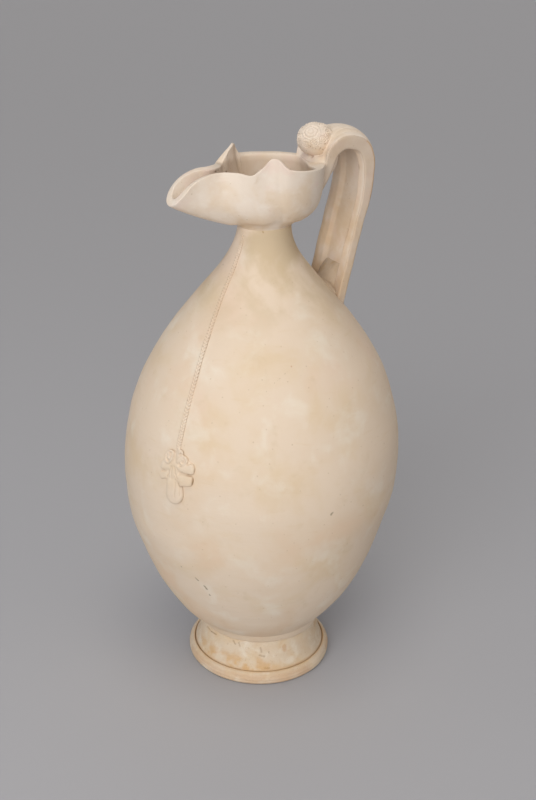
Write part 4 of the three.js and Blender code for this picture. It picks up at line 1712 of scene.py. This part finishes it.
    def _crack(self, place: Vector) -> float:
        """Return how deep the ragged crack beside the near lip is at a place, up to one."""
        if place.x < 8.0 or not self._inside(place):
            return 0.0
        spot = Vector((0.0, place.y, place.z))
        wander = rough(spot, 9.0, 3.3) * 1.6 + rough(spot, 3.0, 2.2) * 0.4
        ragged = 0.55 + 0.45 * rough(spot, 5.0, 8.1)
        span = between(place.z, (330.0, 352.0), (403.0, 406.0))
        return ridge(place.x - self.crack[0] + wander, self.crack[1]) * span * ragged

    def _darkening(self, place: Vector) -> float:
        """Return painted shade on the sides, at both ends of the hollow and in the slot under the ball, and
        the crack.
        """
        share, proud = self.ruler.read(place)
        # Painted shade: the side faces are drawn darker than the lit back.
        if abs(place.x) > self.width / 2.0 - (0.7 if proud > 0.0 else 1.3):
            return 0.4 + 0.08 * rough(place, 14.0, 2.7)
        # Painted shade at both ends of the hollow and a painted shadow in the slot under the ball, with the
        # dark crack.
        inside = share > 0.2 and proud < 0.0
        high = 0.16 * ease(place.z, 385.0, 404.0) * ease(7.0 - place.x, 0.0, 12.0)
        shade = max(high, 0.5 * (1.0 - ease(place.z, 302.0, 338.0))) if inside else 0.0
        return max(self._crack(place) * 0.9, shade, 0.75 * self._slot(place))

    def _ochre_tint(self, place: Vector) -> float:
        """Return the ochre: stains on the near lip, and a painted shadow line under the arris of the crest.
        """
        share, proud = self.ruler.read(place)
        edge = proud - self.thickness.at(share).x / 2.0
        # Painted shadow: a thin ochre line just under the arris of the crest.
        if place.x > self.width / 2.0 - 0.9 and 0.42 < share < 0.66:
            return 0.6 * ridge(edge + 0.5, 0.5)
        if proud > 0.0:
            return 0.0
        patchy = 0.5 + 0.5 * rough(place, 13.0, 5.7)
        return 0.3 * patchy * ease(place.z, 322.0, 340.0) * between(place.x, (9.0, 13.0), (17.0, 20.0))


@dataclass
class HandleWad:
    """The wad of clay pressed into the strap's hollow at the shoulder. Sizes in millimetres.

    Attributes:
        vessel: The vessel on whose shoulder it lies.
        stations: Heights along it, how far it stands out of the hollow there, and its half width.
        floor: A height and how far behind the axis the hollow's floor lies there.
        slant: How much further back the floor lies for each millimetre up.
        apron: Half sizes of the clay smeared on the shoulder below it.
        apron_place: Height of the apron's middle and how far it stands out of the skin.
        wrinkle: Height of the wrinkle at its middle, its fall to the side and its half width.
        waves: Lumps that the thumb left.
    """

    vessel: Vessel
    stations: tuple[tuple[float, float, float], ...] = (
        (298.5, 3.0, 13.5), (302.0, 6.0, 14.5), (306.0, 7.6, 15.0), (310.0, 7.6, 15.2), (314.0, 6.2, 15.0),
        (317.6, 3.8, 14.2), (320.4, 1.4, 12.6), (322.0, -0.6, 10.6),
    )  # fmt: skip
    floor: tuple[float, float] = (308.0, 55.0)
    slant: float = 0.233
    apron: Vector = field(default_factory=lambda: Vector((18.0, 5.4, 12.0)))
    apron_place: tuple[float, float] = (303.0, -1.6)
    wrinkle: tuple[float, float, float] = (305.5, 0.25, 0.9)
    waves: tuple[Wave, ...] = (Wave(9.0, 0.8, 4.1),)

    def make(self) -> None:
        """Press the wad in with a thumb and smear its edge on the shoulder."""
        clay = Clay()
        line, steps = Course([Vector(station) for station in self.stations]), 48
        clay.skin([self._ring(line.at(i / steps)) for i in range(steps + 1)])
        height, proud = self.apron_place
        clay.lump(self.apron, self.vessel.skin(math.pi, height).matrix(proud), 32)
        clay.fuse(0.7)
        clay.smooth(10)
        clay.press(self._pressed)
        clay.fire("handle_wad_clay", "handle_wad", SHADED_WAD_CLAY, self._darkening)

    def _ring(self, station: Vector) -> list[Vector]:
        """Return the wad's outline at one of its stations."""
        height, proud, half = station
        floor = self.floor[1] + (height - self.floor[0]) * self.slant
        sides = [i / 10 - 1.0 for i in range(21)]
        front = [Vector((half * s, floor - proud * (1.0 - s**2) ** 0.7, height)) for s in sides]
        return front + [Vector((0.92 * half * s, floor + 2.2, height)) for s in (1.0, 0.5, 0.0, -0.5, -1.0)]

    def _pressed(self, place: Vector) -> float:
        """Return the relief of lumps and of the wrinkle where the thumb slid."""
        return uneven(place, self.waves) - 0.8 * self._wrinkle(place)

    def _wrinkle(self, place: Vector) -> float:
        """Return how deep the wrinkle is at a place, up to one."""
        height, fall, width = self.wrinkle
        line = place.z - height + place.x * fall + rough(place, 12.0) * 1.6
        return ridge(line, width) * (1.0 - ease(abs(place.x - 5.0), 6.0, 10.0))

    def _darkening(self, place: Vector) -> float:
        """Return the painted shade in the wrinkle."""
        return 0.5 * self._wrinkle(place)


@dataclass
class NeckCord:
    """The plaited cord laid down the neck and shoulder. Sizes in millimetres.

    Attributes:
        vessel: The vessel that it lies on.
        width: Width of the plait at its lower end and on the neck.
        course: Heights along it, and its turn from the beak there in degrees.
        pitch: Length of one whole turn of a strand.
        swing: How far a strand swings sideways, and in and out.
        strand: Half width and half depth of a strand.
        steps: Rings along a strand.
        sides: Facets round a strand.
    """

    vessel: Vessel
    width: tuple[float, float] = (4.6, 3.4)
    course: tuple[tuple[float, float], ...] = (
        (212.0, 26.7), (232.0, 26.7), (256.0, 26.2), (280.0, 24.8), (300.0, 22.2), (319.0, 18.2),
        (337.0, 15.2), (352.0, 13.4),
    )  # fmt: skip
    pitch: float = 6.6
    swing: tuple[float, float] = (1.4, 0.52)
    strand: tuple[float, float] = (1.0, 0.78)
    steps: int = 460
    sides: int = 6

    def make(self) -> None:
        """Plait three strands over each other."""
        clay = Clay()
        course = Course([Vector((turn, height, 0.0)) for height, turn in self.course])
        spots = [course.at(i / self.steps) for i in range(self.steps + 1)]
        places = [self.vessel.skin(math.radians(spot.x), spot.y) for spot in spots]
        length = sum((low.place - high.place).length for low, high in zip(places, places[1:]))
        for strand in range(3):
            self._strand(clay, places, length, strand / 3.0)
        clay.fire("plaited_cord", "neck_cord", CREAM_SLIP)

    def _strand(self, clay: Clay, places: list[Skin], length: float, offset: float) -> None:
        """Lay one strand.

        Args:
            clay: The clay that gets it.
            places: The cord's course on the skin.
            length: Its length.
            offset: Where in its turn the strand starts.
        """
        swing, depth = self.swing
        centres, scales, dip_shade = [], [], []
        for i, skin in enumerate(places):
            share = i / self.steps
            scale = mix(1.0, self.width[1] / self.width[0], share)
            phase = TURN * (share * length / self.pitch + offset)
            over = math.sin(2.0 * phase)
            worn = ease(share, 0.9, 1.0)
            proud = 0.1 + over * depth * scale - 0.9 * worn
            centres.append(skin.point(math.sin(phase) * swing * scale, proud))
            scales.append(scale)
            # Painted shade: a strand is drawn darker where it passes under the others.
            dip_shade.append(0.4 * ease(-over, -0.1, 0.9) * (1.0 - worn))
        rings = []
        for i, skin in enumerate(places):
            run = (centres[min(i + 1, self.steps)] - centres[max(i - 1, 0)]).normalized()
            side = run.cross(skin.out).normalized() * self.strand[0]
            over = side.cross(run) / self.strand[0] * self.strand[1]
            rings.append(loop(centres[i], side, over, scales[i], self.sides))
            for place in rings[-1]:
                clay.darken(place, dip_shade[i])
        clay.skin(rings)


@dataclass
class Palmette:
    """The moulded sprig at the cord's end. Sizes in millimetres, places across and above its middle.

    Attributes:
        vessel: The vessel that it lies on.
        turn: Its turn from the beak.
        middle: Height of its middle.
        relief: How far it stands out.
        roll_place: How far the middles of its rolls stand out.
        line_width: Half width of its cut lines.
        line_depth: Depth of the deepest of them.
        waves: What the fingers left.
    """

    vessel: Vessel
    turn: float = math.radians(27.4)
    middle: float = 192.0
    relief: float = 2.3
    roll_place: float = 1.55
    line_width: float = 0.5
    line_depth: float = 1.5
    waves: tuple[Wave, ...] = (Wave(5.0, 0.15, 2.9),)

    def _point(self, across: float, up: float, proud: float) -> Vector:
        """Return the point so far across, above and proud of the palmette's middle."""
        skin = self.vessel.skin(self.turn + across / self.vessel.belly.x, self.middle + up)
        return skin.point(0.0, proud)

    def _pad(self, clay: Clay, outline: Sequence[tuple[float, float]], relief: float) -> None:
        """Press a pad with steep edges and a softly domed top.

        Args:
            clay: The clay that gets it.
            outline: Places round it, anticlockwise.
            relief: How far it stands out.
        """
        edge, facets = Course([Vector((x, z, 0.0)) for x, z in outline], closed=True), 40
        around = [edge.at(i / facets) for i in range(facets)]
        heart = sum(around, Vector((0.0, 0.0, 0.0))) / facets
        steps = (
            (1.0, -1.0), (1.0, 0.12), (0.985, 0.42), (0.94, 0.7), (0.86, 0.88), (0.72, 0.99), (0.5, 1.06),
            (0.25, 1.1), (0.05, 1.12),
        )  # fmt: skip
        rings = []
        for size, height in steps:
            spots = (heart + (place - heart) * size for place in around)
            rings.append([self._point(spot.x, spot.y, height * relief) for spot in spots])
        clay.skin(rings)

    def _roll(self, clay: Clay, course: Sequence[tuple[float, float]], thick: tuple[float, float]) -> None:
        """Lay a rolled coil.

        Args:
            clay: The clay that gets it.
            course: Places along it.
            thick: Its radius at its start and end.
        """
        line = Course([self._point(x, z, self.roll_place) for x, z in course])
        clay.coil(line, thick, self.vessel.skin(self.turn, self.middle).out)

    def make(self) -> None:
        """Press the leaves and scrolls, fuse them and cut their lines."""
        clay = Clay()
        leaf = self.relief
        # Outline and relief of the ground, the four side lobes, the tongue, the heart, the bud and the
        # beds of the two scrolls.
        pads = [
            ([(-13.6, 6), (-12, -0.6), (-6.6, -1), (0, -2), (8, -0.4), (12.6, 1), (13.4, 9), (12.6, 14),
              (8, 18), (4, 20), (-0.6, 24), (-4, 20), (-9, 19), (-11, 14), (-13, 11)], leaf * 0.4),
            ([(-0.8, 8), (4.6, 7.4), (9.9, 7.7), (14, 8.3), (15, 11), (14.3, 13.8), (12.7, 15.6),
              (9.2, 14), (3.4, 11.6), (-0.8, 10.8)], leaf),
            ([(-0.6, 1.5), (2.7, -0.4), (4.9, -2.4), (8.5, -1.8), (13.4, -0.3), (14.4, 2.9),
              (13.8, 6), (11.9, 7.1), (8, 6.3), (3.1, 5.8), (-0.6, 4.4)], leaf * 1.05),
            ([(-15.1, 5), (-11, 5.6), (-6, 7), (-4.6, 9.4), (-8.4, 10.6), (-12.4, 12.8), (-14.4, 11),
              (-15.4, 8)], leaf * 0.68),
            ([(-15.3, 2.6), (-15.2, -0.6), (-13.6, -2.4), (-9.2, -1), (-5, 0.4), (-4, 4.4),
              (-8.8, 5), (-12.6, 4.4)], leaf * 0.68),
            ([(-7.3, 0.6), (-7.8, -4), (-7.8, -9.6), (-6.9, -14), (-4.5, -16.8), (-1, -17.8),
              (2.5, -17.2), (5.8, -14.2), (7.3, -9.8), (6.8, -5.6), (5.2, -1.6), (2.4, 1.6),
              (-2.6, 2.8)], leaf),
            ([(-6.4, 10), (-6.8, 4), (-5.6, 0), (0, -1.6), (2.6, 1), (2.4, 8), (1.6, 14), (-1.8, 15),
              (-4.6, 12.6)], leaf * 0.8),
            ([(-1.8, 13), (1.6, 13), (2, 18), (1.4, 22), (0.6, 24.6), (-1.8, 24.6), (-2.2, 21),
              (-2.2, 17)], leaf * 0.75),
            ([(-11.4, 14), (-10.4, 18.6), (-7, 20.6), (-4.3, 20.3), (-4.2, 17.4), (-5.8, 13),
              (-8.2, 11), (-10.6, 11.8)], leaf * 0.5),
            ([(1, 14.8), (2.6, 17.9), (5, 19.2), (7.8, 18.6), (8.6, 16.8), (7.2, 14), (4.2, 12.6),
              (1.6, 13.1)], leaf * 0.5),
        ]  # fmt: skip
        for outline, relief in pads:
            self._pad(clay, outline, relief)
        ring = [(-6, 13), (-4.5, 16.6), (-4.6, 19.8), (-7, 20.2), (-10, 18.2), (-10.9, 14.6),
                (-9.9, 12), (-7.8, 11.6), (-6, 13.4), (-6, 15.2)]  # fmt: skip
        scroll = [(0.6, 13.6), (1.6, 16.6), (4, 18.7), (7, 18.3), (8.1, 16.4), (7, 14.2), (4.6, 13.3),
                  (3, 14.8), (3.8, 16.7), (5.6, 16.4)]  # fmt: skip
        rolls = (
            (ring, (1.15, 0.9)),
            ([(-7.4, 18.2), (-8.0, 16), (-8.2, 14)], (1.3, 0.9)),
            (scroll, (1.1, 0.85)),
            ([(0.8, 20.4), (2, 22.4), (3.6, 21.6), (3.8, 20)], (1.1, 0.8)),
        )
        for course, thick in rolls:
            self._roll(clay, course, thick)
        clay.fuse(0.42)
        clay.smooth(3)
        clay.press(self._cut)
        clay.fire("palmette_sprig", "palmette", CREAM_SLIP, self._darkening)

    def _spot(self, place: Vector) -> Vector:
        """Return how far across and above the palmette's middle a place lies."""
        across = (math.atan2(place.x, -place.y) - self.turn) * self.vessel.belly.x
        return Vector((across, place.z - self.middle))

    def _nearest(self, place: Vector, cuts: Iterable[tuple[float, ...]]) -> float:
        """Find how deep a place lies in the nearest of some cuts.

        Args:
            place: Where.
            cuts: Both ends of each, across and above the middle, and its depth.

        Returns:
            Depth, up to one.
        """
        spot = self._spot(place)
        return max(
            depth * ridge(distance(spot, Vector((x, z)), Vector((to_x, to_z))), self.line_width)
            for x, z, to_x, to_z, depth in cuts
        )

    def _lines(self, place: Vector) -> float:
        """Return how deep the lines cut with a stick are at a place, up to one."""
        cuts = (
            (-15.0, 4.2, -9.4, 4.8, 0.4), (-4.6, 9.8, -6.0, 5.6, 0.4), (-6.0, 5.6, -7.6, 1.2, 0.35),
            (-3.4, 10.0, -3.8, 5.0, 0.35), (-3.8, 5.0, -3.0, 1.4, 0.3), (-1.6, 10.4, -0.6, 6.4, 0.4),
            (-0.6, 6.4, 2.0, 3.0, 0.35), (0.6, 10.0, 3.4, 7.7, 0.4), (3.4, 7.7, 13.0, 7.3, 0.6),
            (0.8, -0.6, 1.3, -5.0, 0.3), (1.3, -5.0, 0.8, -11.5, 0.35), (4.6, -3.0, 5.0, -9.0, 0.3),
            (-1.6, 24.0, -1.0, 15.0, 0.25),
        )  # fmt: skip
        return self._nearest(place, cuts)

    def _cut(self, place: Vector) -> float:
        """Return the relief of the cut lines and of fingers."""
        return uneven(place, self.waves) - self.line_depth * self._lines(place)

    def _darkening(self, place: Vector) -> float:
        """Return the painted shade in the cut lines, and the painted shadows beside the pads' steep edges."""
        # Painted shadows along the steep right and lower edges of the pads.
        corners = (
            (15.2, 12.8, 15.4, 8.8, 0.7), (14.4, 6.8, 14.3, 0.0, 0.8), (9.6, 7.2, 13.4, 7.4, 0.5),
            (4.8, -2.6, 13.0, -1.0, 0.35), (3.2, -0.2, 4.8, -2.6, 0.5), (-7.8, -11.6, -4.6, -17.0, 0.3),
            (-4.6, -17.0, 2.6, -17.8, 0.35),
        )  # fmt: skip
        return max(0.4 * self._lines(place), self._nearest(place, corners))


# Studio


# Height in metres at which the lamps point, and how far away the lamp of a sky of light is put.
AIM_HEIGHT = 0.2
SKY_DISTANCE = 4.0


@dataclass(frozen=True)
class Lamp:
    """A studio lamp.

    Attributes:
        name: Its name.
        heading: Where it stands, in degrees from the beak towards +X.
        climb: How far above the table it stands, in degrees.
        distance: Its distance from the ewer in metres, or zero for a sky of light.
        size: Its side in metres, or the angle of the sky's bright part in degrees.
        power: In watts, or in watts to the square metre.
        tint: Its colour.
    """

    name: str
    heading: float
    climb: float
    distance: float
    size: float
    power: float
    tint: str = "#fffcf7"

    def hang(self) -> None:
        """Hang the lamp, pointed at the ewer."""
        turn, climb = math.radians(self.heading), math.radians(self.climb)
        level = Vector((math.sin(turn), -math.cos(turn), 0.0)) * math.cos(climb)
        towards = level + Vector((0.0, 0.0, math.sin(climb)))
        lamp = bpy.data.lights.new(self.name, "AREA" if self.distance else "SUN")
        if self.distance:
            lamp.shape = "SQUARE"
            lamp.size = self.size
        else:
            lamp.angle = math.radians(self.size)
        lamp.energy = self.power
        lamp.color = linear(self.tint)[:3]
        holder = bpy.data.objects.new(self.name, lamp)
        holder.location = Vector((0.0, 0.0, AIM_HEIGHT)) + towards * (self.distance or SKY_DISTANCE)
        holder.rotation_euler = towards.to_track_quat("Z", "Y").to_euler()
        bpy.context.scene.collection.objects.link(holder)


@dataclass
class Studio:
    """The floor, the light and the camera.

    Attributes:
        floor: Colour of the seamless paper.
        floor_radius: How wide it lies round the ewer, in metres.
        backdrop: Colour seen behind it.
        sky: Strength of the even light from all sides.
        sky_tint: Its colour.
        lamps: The lamps.
        camera_place: In metres.
        pitch: How far the camera looks down.
        heading: Direction in which it looks, from +Y towards +X.
        roll: How far it leans.
        lens: Focal length over a long side of 36 mm.
    """

    floor: str = "#b2b3b8"
    floor_radius: float = 16.0
    backdrop: str = "#97979a"
    sky: float = 0.3
    sky_tint: str = "#fafbff"
    lamps: tuple[Lamp, ...] = (
        Lamp("wide_key", 48.0, 12.0, 0.0, 50.0, 1.0, "#fffcf6"),
        Lamp("near_key", 41.0, 24.0, 1.5, 1.1, 9.3, "#fdfdff"),
        Lamp("overhead", 60.0, 75.0, 0.0, 35.0, 0.7, "#fff4e4"),
        Lamp("right_fill", 120.0, 10.0, 0.0, 50.0, 0.28, "#ffead2"),
        Lamp("back_fill", 240.0, 24.0, 0.0, 60.0, 0.35, "#fffaf4"),
    )
    camera_place: Vector = field(default_factory=lambda: Vector((0.6852, -0.3643, 0.5407)))
    pitch: float = math.radians(22.45)
    heading: float = math.radians(-61.65)
    roll: float = math.radians(1.31)
    lens: float = 49.64

    def make(self) -> None:
        """Lay the floor, hang the lamps and set the camera."""
        self._floor()
        self._world()
        for lamp in self.lamps:
            lamp.hang()
        self._camera()

    def _floor(self) -> None:
        """Lay a wide plain floor of matt paper, just below the foot so that the two don't flicker."""
        paper = bpy.data.materials.new("matt_studio_paper")
        paper.use_nodes = True
        tree = paper.node_tree
        tree.nodes.clear()
        surface = add_node(
            tree,
            "ShaderNodeBsdfPrincipled",
            {"Base Color": linear(self.floor), "Roughness": 0.95, "Specular IOR Level": 0.1},
        )
        add_node(tree, "ShaderNodeOutputMaterial", links={"Surface": surface.outputs["BSDF"]})
        sheet = bmesh.new()
        bmesh.ops.create_circle(sheet, cap_ends=True, segments=96, radius=self.floor_radius)
        bmesh.ops.translate(sheet, vec=(0.0, 0.0, -0.0002), verts=sheet.verts)
        mesh = bpy.data.meshes.new("studio_floor")
        sheet.to_mesh(mesh)
        sheet.free()
        mesh.materials.append(paper)
        floor = bpy.data.objects.new("studio_floor", mesh)
        bpy.context.scene.collection.objects.link(floor)

    def _world(self) -> None:
        """Fill the room with even soft light, and show a plain grey behind the floor."""
        world = bpy.data.worlds.new("studio")
        bpy.context.scene.world = world
        world.use_nodes = True
        tree = world.node_tree
        tree.nodes.clear()
        light, seen = (
            add_node(tree, "ShaderNodeBackground", {"Color": linear(colour), "Strength": strength}).outputs[0]
            for colour, strength in ((self.sky_tint, self.sky), (self.backdrop, 1.0))
        )
        camera_ray = add_node(tree, "ShaderNodeLightPath").outputs["Is Camera Ray"]
        both = add_node(tree, "ShaderNodeMixShader", links={0: camera_ray, 1: light, 2: seen})
        add_node(tree, "ShaderNodeOutputWorld", links={"Surface": both.outputs[0]})

    def _camera(self) -> None:
        """Set the camera where the photograph was taken from."""
        flat = Vector((math.sin(self.heading), math.cos(self.heading), 0.0))
        ahead = flat * math.cos(self.pitch) - Vector((0.0, 0.0, math.sin(self.pitch)))
        right = Vector((flat.y, -flat.x, 0.0))
        up = right.cross(ahead)
        across = right * math.cos(self.roll) + up * math.sin(self.roll)
        above = up * math.cos(self.roll) - right * math.sin(self.roll)
        lens = bpy.data.cameras.new("camera")
        lens.lens = self.lens
        lens.sensor_fit = "AUTO"
        lens.sensor_width = 36.0
        lens.clip_end = 60.0
        camera = bpy.data.objects.new("camera", lens)
        axes = Matrix((across, above, -ahead)).transposed().to_4x4()
        camera.matrix_world = Matrix.Translation(self.camera_place) @ axes
        bpy.context.scene.collection.objects.link(camera)
        bpy.context.scene.camera = camera


def main() -> None:
    """Build the ewer piece by piece, then the studio."""
    logging.basicConfig(level=logging.INFO, format="%(name)s: %(message)s")
    vessel = Vessel()
    vessel.make()
    foot = Foot(vessel)
    foot.make()
    FootCollar(foot).make()
    mouth = Mouth(vessel)
    mouth.make()
    knob = ThumbKnob()
    knob.make()
    StrapHandle(mouth, knob).make()
    HandleWad(vessel).make()
    NeckCord(vessel).make()
    Palmette(vessel).make()
    Studio().make()
    bpy.context.scene.view_settings.view_transform = "Standard"


if __name__ == "__main__":
    main()
